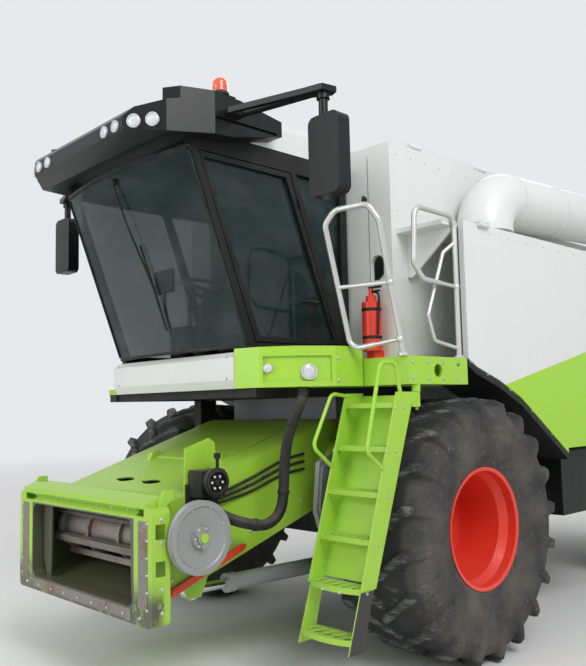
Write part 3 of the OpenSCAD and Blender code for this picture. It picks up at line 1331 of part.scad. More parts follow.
module side_panel() {
    hinge_y = body_half_w + panel_hinge_out;
    guard_top = [for (p = guard_points) p + [0, 14]];
    color(white) union() {
        side_plate(body_half_w - panel_t, panel_t, concat([[48, panel_top_z]],
            guard_top, [[-1360, panel_low_z], [panel_back_x, panel_low_z], [panel_back_x, panel_top_z]]));
        for (x = panel_hinge_x) difference() {
            union() {
                translate([x - 50, hinge_y, panel_top_z - 10]) rotate([0, 90, 0]) cylinder(h = 100, r = 14);
                block([x - 49, body_half_w - 1, panel_top_z - 22], [x + 49, hinge_y, panel_top_z - 10]);
            }
            translate([x - 51, hinge_y, panel_top_z - 10]) rotate([0, 90, 0]) cylinder(h = 102, r = 7.1);
        }
    }
}

panel_hinge_x = [-200, -2000, -4100];
panel_hinge_out = 20;

// An ear of a side panel's hinge with its pin, reaching out over the panel's upper edge.
module panel_ear(x) {
    hinge_y = body_half_w + panel_hinge_out;
    z = panel_top_z - 10;
    translate([x - 66, hinge_y, z]) rotate([0, 90, 0]) cylinder(h = 132, r = 7);
    for (s = [-1, 1]) translate([x + s * 59 - 7, 0, 0]) {
        translate([0, hinge_y, z]) rotate([0, 90, 0]) cylinder(h = 14, r = 13);
        cross_plate(0, 14, [[deck_edge_y - 60, deck_z - 1], [deck_edge_y, deck_z - 1], [deck_edge_y, z + 18],
            [hinge_y - 12, z + 18], [hinge_y - 12, z], [hinge_y + 12, z], [hinge_y + 12, z + 32],
            [deck_edge_y - 60, z + 32]]);
    }
}

// Hose from the multi-coupler up to the platform

hose_r = 36;
hose_points = [[1690, 845, 1250 - seat_gap], [1690, 845, 1195], [1655, 875, 1135], [1570, 935, 1085], [1475, 985, 1055],
    [1380, 1010, 1045], [1300, 1028, 1085], [1255, 1038, 1165], [1242, 1045, 1280], [1240, 1055, 1420],
    [1235, 1075, 1560], [1210, 1105, 1700], [1175, 1135, 1810], [1150, 1155, 1890], [1150, 1155, nose_low - seat_gap]];
hose_sides = 10;

function catmull(p0, p1, p2, p3, t) = 0.5 * (2 * p1 + (p2 - p0) * t + (2 * p0 - 5 * p1 + 4 * p2 - p3) * t * t
    + (3 * p1 - p0 - 3 * p2 + p3) * t * t * t);
function hose_at(i) = hose_points[max(0, min(len(hose_points) - 1, i))];
hose_path = concat([for (i = [0 : len(hose_points) - 2], t = [0, 0.5])
    catmull(hose_at(i - 1), hose_at(i), hose_at(i + 1), hose_at(i + 2), t)], [hose_points[len(hose_points) - 1]]);

module hose() {
    last = len(hose_path) - 1;
    rings = [for (i = [0 : last]) let (d = i == 0 ? [0, 0, -1] : i == last ? [0, 0, 1] : unit(hose_path[i + 1] - hose_path[i - 1]),
        u = unit(cross(d, [0, 1, 0])), v = cross(u, d), p = hose_path[i])
        [for (k = [0 : hose_sides - 1]) p + hose_r * (cos(360 * k / hose_sides) * u + sin(360 * k / hose_sides) * v)]];
    points = [for (ring = rings, p = ring) p];
    n = hose_sides;
    faces = concat([[for (k = [0 : n - 1]) k]], [for (i = [0 : last - 1], k = [0 : n - 1])
        [i * n + k, (i + 1) * n + k, (i + 1) * n + (k + 1) % n, i * n + (k + 1) % n]],
        [[for (k = [n - 1 : -1 : 0]) last * n + k]]);
    color(black) polyhedron(points, faces, convexity = 6);
}

// Moves a piece measured from the front axle to the part's own origin, mid length on the ground.
module placed() { translate([-mid_x, 0, 0]) children(); }

placed() main_frame();
placed() front_axle();
placed() rear_axle();
placed() threshing_housing();
placed() cleaning_shoe();
placed() grain_tank();
placed() tank_shoulders();
placed() engine();
placed() engine_hood();
placed() straw_hood();
placed() chopper();
placed() mudguards();
placed() platform();
placed() railings();
placed() front_hood();
placed() lamp_panel();
placed() cab_shell();
placed() roof_cap();
placed() roof_visor();
placed() windscreen();
placed() cab_glass();
placed() seat();
placed() steering_column();
placed() mirrors();
placed() beacon();
placed() lamps();
placed() extinguisher();
placed() drive_guard();
placed() at_front_wheel(1) front_rim();  // rim_front_left
placed() at_front_wheel(1) front_tyre();  // tyre_front_left
placed() at_front_wheel(-1) front_rim();  // rim_front_right
placed() at_front_wheel(-1) front_tyre();  // tyre_front_right
placed() at_rear_wheel(1) rear_rim();  // rim_rear_left
placed() at_rear_wheel(1) rear_tyre();  // tyre_rear_left
placed() at_rear_wheel(-1) rear_rim();  // rim_rear_right
placed() at_rear_wheel(-1) rear_tyre();  // tyre_rear_right
placed() knuckle();  // knuckle_left
placed() mirror([0, 1, 0]) knuckle();  // knuckle_right
placed() tie_rod();
placed() feeder_house();
placed() header_frame();
placed() feeder_chain();
placed() coupler();
placed() latch_bar();
placed() drive_pulley();
placed() lift_barrels();
placed() lift_rods();
placed() auger_tube();
placed() door();
placed() door_glass();
placed() ladder();
placed() side_panel();  // side_panel_left
placed() mirror([0, 1, 0]) side_panel();  // side_panel_right
placed() tank_lid();  // tank_lid_left
placed() mirror([0, 1, 0]) tank_lid();  // tank_lid_right
placed() hose();
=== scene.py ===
"""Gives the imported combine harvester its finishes, adds what its solids leave out, and sets the stage."""

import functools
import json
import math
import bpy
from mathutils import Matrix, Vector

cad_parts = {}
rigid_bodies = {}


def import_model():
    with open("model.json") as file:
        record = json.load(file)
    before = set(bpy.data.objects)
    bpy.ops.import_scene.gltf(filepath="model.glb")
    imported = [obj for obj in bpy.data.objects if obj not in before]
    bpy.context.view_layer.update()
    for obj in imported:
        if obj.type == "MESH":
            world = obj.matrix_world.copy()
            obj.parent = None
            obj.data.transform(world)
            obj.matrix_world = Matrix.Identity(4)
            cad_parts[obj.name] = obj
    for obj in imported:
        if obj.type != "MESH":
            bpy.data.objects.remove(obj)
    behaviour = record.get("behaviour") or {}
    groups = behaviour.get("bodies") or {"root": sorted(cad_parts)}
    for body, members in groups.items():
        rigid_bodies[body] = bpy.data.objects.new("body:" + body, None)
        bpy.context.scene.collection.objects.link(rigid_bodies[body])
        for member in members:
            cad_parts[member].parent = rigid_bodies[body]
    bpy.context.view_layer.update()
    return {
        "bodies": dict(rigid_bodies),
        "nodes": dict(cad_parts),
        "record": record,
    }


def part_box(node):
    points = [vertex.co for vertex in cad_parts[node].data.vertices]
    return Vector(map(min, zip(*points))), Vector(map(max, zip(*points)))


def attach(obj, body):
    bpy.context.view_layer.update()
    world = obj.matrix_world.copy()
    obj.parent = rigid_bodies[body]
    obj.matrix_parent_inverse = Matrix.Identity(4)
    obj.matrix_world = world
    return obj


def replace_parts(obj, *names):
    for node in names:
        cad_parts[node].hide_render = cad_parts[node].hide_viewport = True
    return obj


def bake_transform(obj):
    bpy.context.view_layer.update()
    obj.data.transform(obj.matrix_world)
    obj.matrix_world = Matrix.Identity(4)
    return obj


bl_info = {
    "name": "Combine harvester",
    "version": (1, 0, 0),
    "blender": (4, 5, 0),
    "location": "3D View > Sidebar > Harvester",
    "description": "Finishes, fittings and stage for the combine harvester",
    "category": "Object",
}

import bmesh
import bpy
from mathutils import Matrix, Vector

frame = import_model()

# Places below are in metres from the middle of the front axle on the ground, as in the part's source
axle_x = 2.034
front_radius, rear_radius = 0.93, 0.70
sides = (1, -1)
hands = ((1, "left"), (-1, "right"))
forwards, backwards = Vector((1, 0, 0)), Vector((-1, 0, 0))
leftwards, rightwards = Vector((0, 1, 0)), Vector((0, -1, 0))
upwards, downwards = Vector((0, 0, 1)), Vector((0, 0, -1))


def at(x, y, z):
    return Vector((x + axle_x, y, z))


def circle(count, lead=0.0):
    """The cosine and the sine at even steps round a circle."""
    turns = [2 * math.pi * (k + lead) / count for k in range(count)]
    return [(math.cos(turn), math.sin(turn)) for turn in turns]


def body_of(node):
    """The name of the body that a CAD node rides on."""
    carrier = frame["nodes"][node].parent
    return next(name for name, empty in frame["bodies"].items() if empty == carrier)


# Shader maths


class Wire:
    """A socket of a finish, so that sums on it can be written as Python."""

    def __init__(self, finish, socket):
        self.finish = finish
        self.socket = socket

    def sum(self, operation, first, second=0.0):
        return self.finish.add("ShaderNodeMath", {"operation": operation}, {0: first, 1: second})

    def __add__(self, other):
        return self.sum("ADD", self, other)

    def __radd__(self, other):
        return self.sum("ADD", other, self)

    def __sub__(self, other):
        return self.sum("SUBTRACT", self, other)

    def __rsub__(self, other):
        return self.sum("SUBTRACT", other, self)

    def __mul__(self, other):
        return self.sum("MULTIPLY", self, other)

    def __rmul__(self, other):
        return self.sum("MULTIPLY", other, self)

    def __abs__(self):
        return self.sum("ABSOLUTE", self)

    def sine(self):
        return self.sum("SINE", self)

    def above(self, edge, soft=0.05):
        """A mask that is 1 where this is over the edge, with a soft border."""
        return self.finish.add("ShaderNodeMapRange", {"interpolation_type": "SMOOTHSTEP"},
                               {"Value": self, "From Min": edge - soft, "From Max": edge + soft})

    def below(self, edge, soft):
        return (edge - self).above(0.0, soft)

    def least(self, other):
        return self.sum("MINIMUM", self, other)

    def most(self, other):
        return self.sum("MAXIMUM", self, other)


class Finish:
    """A material or a world under construction: its nodes, and the sockets that feed its shader."""

    def __init__(self, name, kind="materials"):
        self.made = getattr(bpy.data, kind).new(name)
        self.made.use_nodes = True
        self.tree = self.made.node_tree
        self.tree.nodes.clear()

    def plug(self, socket, value):
        if isinstance(value, Wire):
            self.tree.links.new(value.socket, socket)
        elif socket.type == "RGBA":
            socket.default_value = (*value, 1)
        else:
            socket.default_value = value

    def add(self, kind, settings=None, sockets=None, out=0):
        """Adds a node of any kind, with its settings first and then what its sockets hold."""
        node = self.tree.nodes.new(kind)
        for name, value in (settings or {}).items():
            setattr(node, name, value)
        for name, value in (sockets or {}).items():
            self.plug(node.inputs[name], value)
        return Wire(self, node.outputs[out]) if node.outputs else None

    @functools.cached_property
    def place(self):
        """The place on the piece, in metres."""
        return self.add("ShaderNodeTexCoord", out="Object")

    def axis(self, name, vector=None):
        return self.add("ShaderNodeSeparateXYZ", sockets={"Vector": vector or self.place}, out=name)

    def upward(self):
        """How far a face looks up, from -1 to 1."""
        return self.axis("Z", self.add("ShaderNodeTexCoord", out="Normal"))

    def stretched(self, scale):
        return self.add("ShaderNodeVectorMath", {"operation": "MULTIPLY"}, {0: self.place, 1: scale})

    def length(self, vector):
        return self.add("ShaderNodeVectorMath", {"operation": "LENGTH"}, {0: vector}, out="Value")

    def ray(self, kind):
        """A mask of the rays of one kind."""
        return self.add("ShaderNodeLightPath", out="Is " + kind + " Ray")

    def noise(self, scale, detail=4, roughness=0.55, stretch=None):
        return self.add("ShaderNodeTexNoise", sockets={
            "Vector": self.stretched(stretch) if stretch else self.place, "Scale": scale, "Detail": detail,
            "Roughness": roughness})

    def mix(self, mask, first, second):
        return self.add("ShaderNodeMix", {"data_type": "RGBA"}, {0: mask, 6: first, 7: second}, out=2)

    def rounded(self, radius=0.004):
        """The normal with the edges rounded off."""
        return self.add("ShaderNodeBevel", {"samples": 4}, {"Radius": radius}, out="Normal")

    def edges(self, radius=0.006):
        """A mask along the edges, found from how far the rounded normal turns away from the face."""
        turn = self.add("ShaderNodeVectorMath", {"operation": "DOT_PRODUCT"},
                        {0: self.rounded(radius), 1: self.add("ShaderNodeNewGeometry", out="Normal")}, out="Value")
        return 1 - turn

    def bump(self, height, strength, distance, normal=None):
        sockets = {"Height": height, "Strength": strength, "Distance": distance}
        if normal:
            sockets["Normal"] = normal
        return self.add("ShaderNodeBump", sockets=sockets)

    def done(self, sockets):
        """Adds the shader and the output, and gives the material."""
        shader = self.add("ShaderNodeBsdfPrincipled", sockets=sockets)
        self.add("ShaderNodeOutputMaterial", sockets={"Surface": shader})
        return self.made


dust_colour = (0.30, 0.26, 0.205)
rust_colour = (0.17, 0.065, 0.025)
bare_colour = (0.42, 0.41, 0.39)
backdrop_colour = (0.80, 0.82, 0.84)


def shade(colour, factor, lift=0.0):
    return [min(1, factor * part + lift) for part in colour]


def paint(name, colour, dust=0.35, chips=0.3, rough=0.36, coat=0.22, second=None):
    """Enamel with dust low down and on top, and chips along the edges. second is another colour and its mask."""
    finish = Finish(name)
    broad = finish.noise(1.7, 3)
    fine = finish.noise(34, 6, 0.65)
    runs = finish.noise(1, 4, stretch=(13, 13, 1.1))
    low = finish.add("ShaderNodeMapRange", sockets={
        "Value": finish.axis("Z"), "From Min": 0.3, "From Max": 2.6, "To Min": 1.0, "To Max": 0.0})
    top = finish.upward().above(0.75, 0.2)
    film = ((broad * 0.5 + runs * 0.4 + fine * 0.35 - 0.42) + low * 0.35 + top * 0.28) * dust
    film = film.most(0.0).least(0.85)
    tone = finish.mix(broad, shade(colour, 0.93), shade(colour, 1.05))
    if second:
        other, mask = second
        part = mask(finish)
        tone = finish.mix(part, tone, other)
        film = film * (1 - part * 0.7)
    tone = finish.mix(film, tone, dust_colour)
    worn = (finish.edges() * 2.4 + fine * 0.9 - 0.2 * (1 - low)).above(1.45 - chips, 0.05) * chips
    tone = finish.mix(worn, tone, bare_colour)
    shine = rough + film * 0.45 + fine * 0.06
    ripple = finish.bump(finish.noise(5, 2) + fine * 0.04, 0.12, 0.004, finish.rounded())
    return finish.done({"Base Color": tone, "Roughness": shine, "Metallic": 0.0, "Coat Weight": coat,
                        "Coat Roughness": 0.12, "Normal": ripple})


def duct_painted_shade(finish):
    """The inside of the feeder house, painted near black as shade deep in the duct."""
    tilt = math.radians(18.3)
    half_height, half_width = (0.285 - 0.008) / math.cos(tilt), 0.742
    middle = (finish.axis("X") - axle_x - 0.43) * -math.tan(tilt) + 1.43
    off = abs(finish.axis("Z") - middle)
    return off.below(half_height, 0.002) * abs(finish.axis("Y")).below(half_width, 0.002) * 0.94


def mouth_scrapes_and_shade(finish):
    """The front face and the lining of the header frame: the lining inside the opening is painted dark as shade, and
    the low front face is scraped by the headers that hang there.
    """
    out = abs(finish.axis("Y"))
    z = finish.axis("Z")
    # The lining of the opening, darkened as painted shade
    inside = out.below(0.71, 0.004) * z.below(1.15, 0.004) * (z - 0.60).above(0.0, 0.004)
    scraped = (finish.axis("X") - axle_x - 2.12).above(0.0, 0.02) * z.below(0.72, 0.1)
    broken = (finish.noise(9, 6, 0.7) + 0.1).above(0.5, 0.12)
    return (inside + scraped * broken).least(0.95)


def black_foot(finish):
    """The ladder's side plates below the knee, which are rubber over steel and so black."""
    y = finish.axis("Y")
    treads = (y - 1.298).above(0.0, 0.001) * y.below(1.73, 0.001)
    return (1 - treads) * finish.axis("Z").below(0.69, 0.002)


def panel_green(finish):
    """The green wedge at the foot of a side panel, whose top edge rises towards the back."""
    edge = (axle_x - 0.49 - finish.axis("X")) * math.tan(math.radians(12.4)) + 1.964
    return (edge - finish.axis("Z")).above(0.0, 0.002)


def metal(name, colour, metallic=0.85, rough=0.38, rust=0.15, dust=0.2, brushed=(60, 60, 3)):
    """Bare or galvanised metal, brushed, with rust in patches and dust."""
    finish = Finish(name)
    broad = finish.noise(3.2, 4)
    fine = finish.noise(60, 6, 0.7)
    grain = finish.noise(1, 3, stretch=brushed)
    spots = (broad * 0.6 + fine * 0.55).above(0.78 - rust * 0.42, 0.07) * min(1.0, rust * 2.2)
    film = (finish.upward() * 0.3 + broad * 0.8 + fine * 0.3 - 0.45).most(0.0) * dust
    tone = finish.mix(grain, shade(colour, 0.86), shade(colour, 1.08))
    tone = finish.mix(spots, tone, rust_colour)
    tone = finish.mix(film, tone, dust_colour)
    return finish.done({"Base Color": tone, "Roughness": rough + spots * 0.4 + film * 0.4 + grain * 0.08,
                        "Metallic": (1 - spots) * metallic,
                        "Normal": finish.bump(grain * 0.5 + spots + fine * 0.3, 0.25, 0.002, finish.rounded())})


def plastic(name, colour, rough=0.5, dust=0.3, grain=420, relief=0.3, coat=0.0):
    """Moulded plastic or satin black steel with a fine grain and dust."""
    finish = Finish(name)
    broad = finish.noise(2.3, 4)
    fine = finish.noise(grain, 2)
    smear = finish.noise(1, 5, stretch=(9, 9, 1.3))
    film = (broad * 0.5 + smear * 0.6 - 0.5 + finish.upward().most(0.0) * 0.35).most(0.0) * dust * 2
    tone = finish.mix(fine, shade(colour, 0.85), shade(colour, 1.2))
    tone = finish.mix(film.least(0.8), tone, dust_colour)
    worn = (finish.edges() * 2 + finish.noise(45, 5)).above(1.2, 0.08) * 0.35
    tone = finish.mix(worn, tone, shade(colour, 3.2, 0.03))
    return finish.done({"Base Color": tone, "Roughness": rough + film * 0.3 + fine * 0.08, "Coat Weight": coat,
                        "Specular IOR Level": 0.25,
                        "Normal": finish.bump(fine, relief, 0.0006, finish.rounded())})


def glass(name, colour, alpha=0.5):
    """Tinted glass, with a thin film of dust towards its edges and faint wiped streaks."""
    finish = Finish(name)
    smear = finish.noise(1, 5, stretch=(2, 2, 7))
    film = (smear + finish.noise(2.5, 4) - 0.95).most(0.0) * 0.22
    return finish.done({"Base Color": finish.mix(film, colour, (0.42, 0.45, 0.44)), "Roughness": 0.02 + film * 0.5,
                        "Alpha": alpha + film * 0.5, "Specular IOR Level": 0.5, "IOR": 1.5})


def lens(name, colour, glow=0.0, rough=0.08):
    """A clear or coloured lamp cover with fluted moulding and a bright inside."""
    finish = Finish(name)
    flutes = finish.add("ShaderNodeTexVoronoi", {"feature": "F1"}, {"Vector": finish.place, "Scale": 130},
                        out="Distance")
    tone = finish.mix(flutes, shade(colour, 0.6), colour)
    return finish.done({"Base Color": tone, "Roughness": rough + flutes * 0.1, "Coat Weight": 1.0, "Metallic": 0.0,
                        "Coat Roughness": 0.03, "Emission Color": colour, "Emission Strength": glow,
                        "Normal": finish.bump(flutes, 0.35, 0.003)})


def rubber(name, radius, height):
    """Tyre rubber: dark, with mud dust in the grooves, pale scuffs on the lugs and moulded rings on the walls."""
    finish = Finish(name)
    out = finish.length(finish.stretched((1, 0, 1)))
    broad = finish.noise(3.1, 4)
    fine = finish.noise(85, 7, 0.7)
    scuff = finish.noise(1, 5, 0.7, stretch=(26, 4, 26))
    crown = out.above(radius - height * 0.35, height * 0.25)
    groove = 1 - out.above(radius - height * 0.85, height * 0.4)
    rings = (out * 260).sine() * (1 - out.above(radius * 0.82, 0.02))
    film = (broad * 0.75 + fine * 0.5 - 0.5).most(0.0) * 0.6
    tone = finish.mix(fine, (0.017, 0.018, 0.019), (0.04, 0.041, 0.043))
    tone = finish.mix(film.least(0.7), tone, (0.13, 0.122, 0.11))
    tone = finish.mix((groove * (broad + fine * 0.4)).above(0.72, 0.2) * 0.35, tone, (0.2, 0.17, 0.135))
    tone = finish.mix((scuff + crown * 0.16).above(0.66, 0.06) * 0.5, tone, (0.24, 0.235, 0.235))
    relief = rings * 0.35 + fine * 0.5 + scuff * 0.4
    return finish.done({"Base Color": tone, "Roughness": 0.78 - crown * 0.1 + film * 0.15, "Specular IOR Level": 0.35,
                        "Normal": finish.bump(relief, 0.4, 0.0025)})


def woven(name, colour):
    """Upholstery with a woven thread pattern and soft shading from wear."""
    finish = Finish(name)
    threads = 1400
    warp, weft = ((finish.axis(name) * threads).sine() for name in "XY")
    cloth = warp * weft * 0.5 + 0.5
    broad = finish.noise(7, 4)
    tone = finish.mix(cloth, shade(colour, 0.7), shade(colour, 1.3))
    tone = finish.mix(broad * 0.3, tone, dust_colour)
    return finish.done({"Base Color": tone, "Roughness": 0.85 + broad * 0.1, "Sheen Weight": 0.25,
                        "Normal": finish.bump(cloth, 0.4, 0.0008)})


def floor_finish():
    """The pale floor, which turns into the backdrop far away where the camera sees it."""
    finish = Finish("studio_floor")
    tone = finish.mix(finish.noise(0.6, 3), (0.74, 0.74, 0.73), (0.78, 0.78, 0.77))
    near = finish.add("ShaderNodeBsdfPrincipled", sockets={"Base Color": tone, "Roughness": 0.9,
                                                           "Specular IOR Level": 0.1})
    far = finish.add("ShaderNodeEmission", sockets={"Color": backdrop_colour, "Strength": 1.0})
    seen = finish.ray("Camera") * finish.length(finish.place).above(17.0, 11.0)
    either = finish.add("ShaderNodeMixShader", sockets={0: seen, 1: near, 2: far})
    finish.add("ShaderNodeOutputMaterial", sockets={"Surface": either})
    return finish.made


finishes = {}
# How far a bolt is let down at most, so that none ends up on a face behind a gap
bolt_reach = 0.4


# Mesh pieces


class Piece:
    """Collects the faces of one piece, and then makes an object of them that rides on a body."""

    def __init__(self):
        self.mesh = bmesh.new()

    def box(self, low, high, turn=None):
        low, high = Vector(low), Vector(high)
        made = bmesh.ops.create_cube(self.mesh, size=1)["verts"]
        size = high - low
        matrix = Matrix.Translation((low + high) / 2) @ (turn or Matrix.Identity(4)) @ Matrix.Diagonal((*size, 1))
        bmesh.ops.transform(self.mesh, matrix=matrix, verts=made)
        return self

    def rod(self, start, end, radius, steps=20, end_radius=None):
        start, end = Vector(start), Vector(end)
        made = bmesh.ops.create_cone(self.mesh, cap_ends=True, segments=steps, radius1=radius,
                                     radius2=radius if end_radius is None else end_radius, depth=(end - start).length)
        turn = upwards.rotation_difference(end - start).to_matrix().to_4x4()
        bmesh.ops.transform(self.mesh, matrix=Matrix.Translation((start + end) / 2) @ turn, verts=made["verts"])
        return self

    def pipe(self, points, radius, steps=12, smooth=6):
        """A tube along a smooth line through the points."""
        line = smooth_line([Vector(p) for p in points], smooth)
        rings = []
        side = (line[1] - line[0]).orthogonal().normalized()
        for i, place in enumerate(line):
            along = (line[min(i + 1, len(line) - 1)] - line[max(i - 1, 0)]).normalized()
            side = (side - along * side.dot(along)).normalized()
            other = along.cross(side)
            rings.append([self.mesh.verts.new(place + radius * (side * c + other * s)) for c, s in circle(steps)])
        self.walls(rings)
        self.mesh.faces.new(reversed(rings[0]))
        self.mesh.faces.new(rings[-1])
        return self

    def prism(self, outline, depth):
        """The outline, a loop of points in space, carried along depth."""
        low = [self.mesh.verts.new(p) for p in outline]
        high = [self.mesh.verts.new(Vector(p) + Vector(depth)) for p in outline]
        n = len(outline)
        faces = [self.mesh.faces.new(low), self.mesh.faces.new(high[::-1])]
        faces += [self.mesh.faces.new((low[i], high[i], high[(i + 1) % n], low[(i + 1) % n])) for i in range(n)]
        bmesh.ops.recalc_face_normals(self.mesh, faces=faces)
        return self

    def spin(self, place, direction, profile, steps=40):
        """Turns a profile of (radius, height) about a direction."""
        turn = upwards.rotation_difference(Vector(direction)).to_matrix().to_4x4()
        matrix = Matrix.Translation(place) @ turn
        rings = []
        for radius, height in profile:
            around = circle(steps) if radius > 0 else [(0, 0)]
            rings.append([self.mesh.verts.new(matrix @ Vector((radius * c, radius * s, height))) for c, s in around])
        return self.walls(rings)

    def walls(self, rings):
        """Faces between rings of points, where a ring may also be a single point."""
        for first, second in zip(rings, rings[1:]):
            for k in range(max(len(first), len(second))):
                loop = [first[k % len(first)], first[(k + 1) % len(first)],
                        second[(k + 1) % len(second)], second[k % len(second)]]
                self.mesh.faces.new(list(dict.fromkeys(loop)))
        return self

    def bolt(self, place, direction, size):
        """A hexagon head on its washer, standing on a face."""
        place, direction = Vector(place), Vector(direction).normalized()
        self.rod(place - direction * 0.001, place + direction * size * 0.22, size * 1.15, 20)
        self.rod(place, place + direction * size * 0.85, size * 0.88, 6, size * 0.84)
        return self

    def bolts(self, node, start, end, count, direction, size):
        """A row of bolts from start to end, each let down along the direction on to a CAD node."""
        for i in range(count):
            place = Vector(start).lerp(Vector(end), i / max(1, count - 1))
            met, point, normal, _ = frame["nodes"][node].ray_cast(place, direction)
            if met and (point - place).length < bolt_reach:
                self.bolt(point, normal, size)
        return self

    def done(self, name, finish, body, bevel=0.0, soft=False):
        """Makes the object, with sharp edges where faces meet at an angle, unless it is soft."""
        mesh = bpy.data.meshes.new(name)
        bmesh.ops.recalc_face_normals(self.mesh, faces=self.mesh.faces[:])
        self.mesh.to_mesh(mesh)
        self.mesh.free()
        if not mesh.polygons:
            raise RuntimeError(name + " has no faces")
        mesh.shade_smooth()
        if not soft:
            mesh.set_sharp_from_angle(angle=math.radians(38))
        piece = dressed(name, mesh, finish, body)
        if bevel:
            edge = piece.modifiers.new("rounded edges", "BEVEL")
            edge.width = bevel
            edge.segments = 2
            edge.limit_method = "ANGLE"
        return piece


def shown(name, data):
    """A new object in the scene."""
    item = bpy.data.objects.new(name, data)
    bpy.context.scene.collection.objects.link(item)
    return item


def dressed(name, mesh, finish, body, place=(0, 0, 0)):
    mesh.materials.append(finishes[finish])
    piece = shown(name, mesh)
    piece.location = place
    if body:
        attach(piece, body)
    return piece


def smooth_line(points, steps):
    """A smooth line through the points, with that many steps between each two."""
    line = []
    for i in range(len(points) - 1):
        p0, p1 = points[max(0, i - 1)], points[i]
        p2, p3 = points[i + 1], points[min(len(points) - 1, i + 2)]
        for k in range(steps):
            t = k / steps
            line.append(0.5 * (2 * p1 + (p2 - p0) * t + (2 * p0 - 5 * p1 + 4 * p2 - p3) * t * t
                               + (3 * p1 - p0 - 3 * p2 + p3) * t ** 3))
    return line + [points[-1]]


def land(node, start, direction):
    """Where a line from start first meets a CAD node, and the way that the face looks there."""
    met, point, normal, _ = frame["nodes"][node].ray_cast(Vector(start), Vector(direction))
    if not met:
        raise RuntimeError("no face of " + node + " on that line")
    return point, normal


# The record's material slot that each finish belongs to
finish_slot = {
    "green": "green_paint", "white": "white_paint", "red": "red_paint", "dark": "dark_frame", "grey": "grey_metal",
    "steel": "steel", "worn": "steel", "chrome": "chrome", "black": "black_plastic", "gloss": "black_plastic",
    "glass": "glass", "mirror": "chrome", "fabric": "seat_fabric", "tyre_front": "tyre_rubber",
    "tyre_rear": "tyre_rubber", "seal": "hose_rubber", "lens": "lamp_plastic", "amber": "beacon_plastic",
    "hose": "hose_rubber", "panel": "white_paint", "duct": "green_paint", "mouth": "green_paint",
    "ladder": "green_paint", "screen": "dark_frame", "tail": "lamp_plastic",
}


class ColourSettings(bpy.types.PropertyGroup):
    """The paint colours and how dirty the machine is."""
    green: bpy.props.FloatVectorProperty(
        name="Green", description="Lime green of the sheet metal", default=(0.33, 0.62, 0.018), min=0, max=1,
        subtype="COLOR")
    white: bpy.props.FloatVectorProperty(
        name="White", description="Off-white of the tank and the side panels", default=(0.72, 0.73, 0.72), min=0,
        max=1, subtype="COLOR")
    red: bpy.props.FloatVectorProperty(
        name="Red", description="Orange red of the rims", default=(0.78, 0.028, 0.008), min=0, max=1, subtype="COLOR")
    tint: bpy.props.FloatVectorProperty(
        name="Glass tint", description="Tint of the cab's windows", default=(0.008, 0.028, 0.030), min=0, max=1,
        subtype="COLOR")
    dust: bpy.props.FloatProperty(
        name="Dust", description="How much dust lies on the paint", default=0.32, min=0, max=1, subtype="FACTOR")


class SizeSettings(bpy.types.PropertyGroup):
    """Sizes of the fittings, and the strength of the light."""
    hose_width: bpy.props.FloatProperty(
        name="Hose", description="Width of the hose bundle", default=0.072, unit="LENGTH")
    bolt_size: bpy.props.FloatProperty(
        name="Bolt", description="Half the width of a common bolt's head", default=0.011, unit="LENGTH")
    lug_height: bpy.props.FloatProperty(
        name="Lug", description="Height of a tyre's lugs", default=0.048, unit="LENGTH")
    light: bpy.props.FloatProperty(
        name="Light", description="Strength of the light from all round", default=0.62, min=0, max=2)


class HARVESTER_OT_stage(bpy.types.Operator):
    """Sets the camera at the photograph's viewing angle, the floor and the studio light"""
    bl_idname = "harvester.stage"
    bl_label = "Stage"

    def execute(self, context):
        turn, lift, roll = math.radians(46.72), math.radians(5.44), math.radians(-1.24)
        ahead = Vector((-math.cos(turn) * math.cos(lift), -math.sin(turn) * math.cos(lift), math.sin(lift)))
        right = Vector((-math.sin(turn), math.cos(turn), 0))
        up = right.cross(ahead)
        level_right = right * math.cos(roll) + up * math.sin(roll)
        level_up = up * math.cos(roll) - right * math.sin(roll)
        view = bpy.data.cameras.new("camera")
        view.lens = 41.88
        view.sensor_width = 36
        camera = shown("camera", view)
        matrix = Matrix((level_right, level_up, -ahead)).transposed().to_4x4()
        camera.matrix_world = Matrix.Translation(at(4.811, 4.959, 1.817)) @ matrix
        context.scene.camera = camera
        context.scene.view_settings.view_transform = "Standard"

        floor_mesh = bpy.data.meshes.new("floor")
        reach = 300
        floor_mesh.from_pydata([(-reach, -reach, 0), (reach, -reach, 0), (reach, reach, 0), (-reach, reach, 0)], [],
                               [(0, 1, 2, 3)])
        floor_mesh.materials.append(floor_finish())
        shown("floor", floor_mesh)

        machine_middle = Vector((0, 0, 1.6))
        for name, place, size, power in (("key", (6, 11, 11), 7, 1150), ("front", (15, -3, 6), 8, 600),
                                         ("back", (-12, -8, 10), 9, 700)):
            lamp = bpy.data.lights.new(name, "AREA")
            lamp.size = size
            lamp.energy = power
            light = shown(name, lamp)
            light.location = place
            light.rotation_euler = (machine_middle - light.location).to_track_quat("-Z", "Y").to_euler()

        # Rays that show the surroundings see a pale backdrop, and all others meet the ambient light
        sky = Finish("studio", "worlds")
        context.scene.world = sky.made
        seen = sky.ray("Camera").most(sky.ray("Glossy")).most(sky.ray("Transmission"))
        ambient = sky.add("ShaderNodeBackground", sockets={"Color": (0.96, 0.98, 1),
                                                           "Strength": context.scene.harvester_sizes.light})
        pale = sky.add("ShaderNodeBackground", sockets={"Color": backdrop_colour, "Strength": 1})
        either = sky.add("ShaderNodeMixShader", sockets={0: seen, 1: ambient, 2: pale})
        sky.add("ShaderNodeOutputWorld", sockets={"Surface": either})
        return {"FINISHED"}


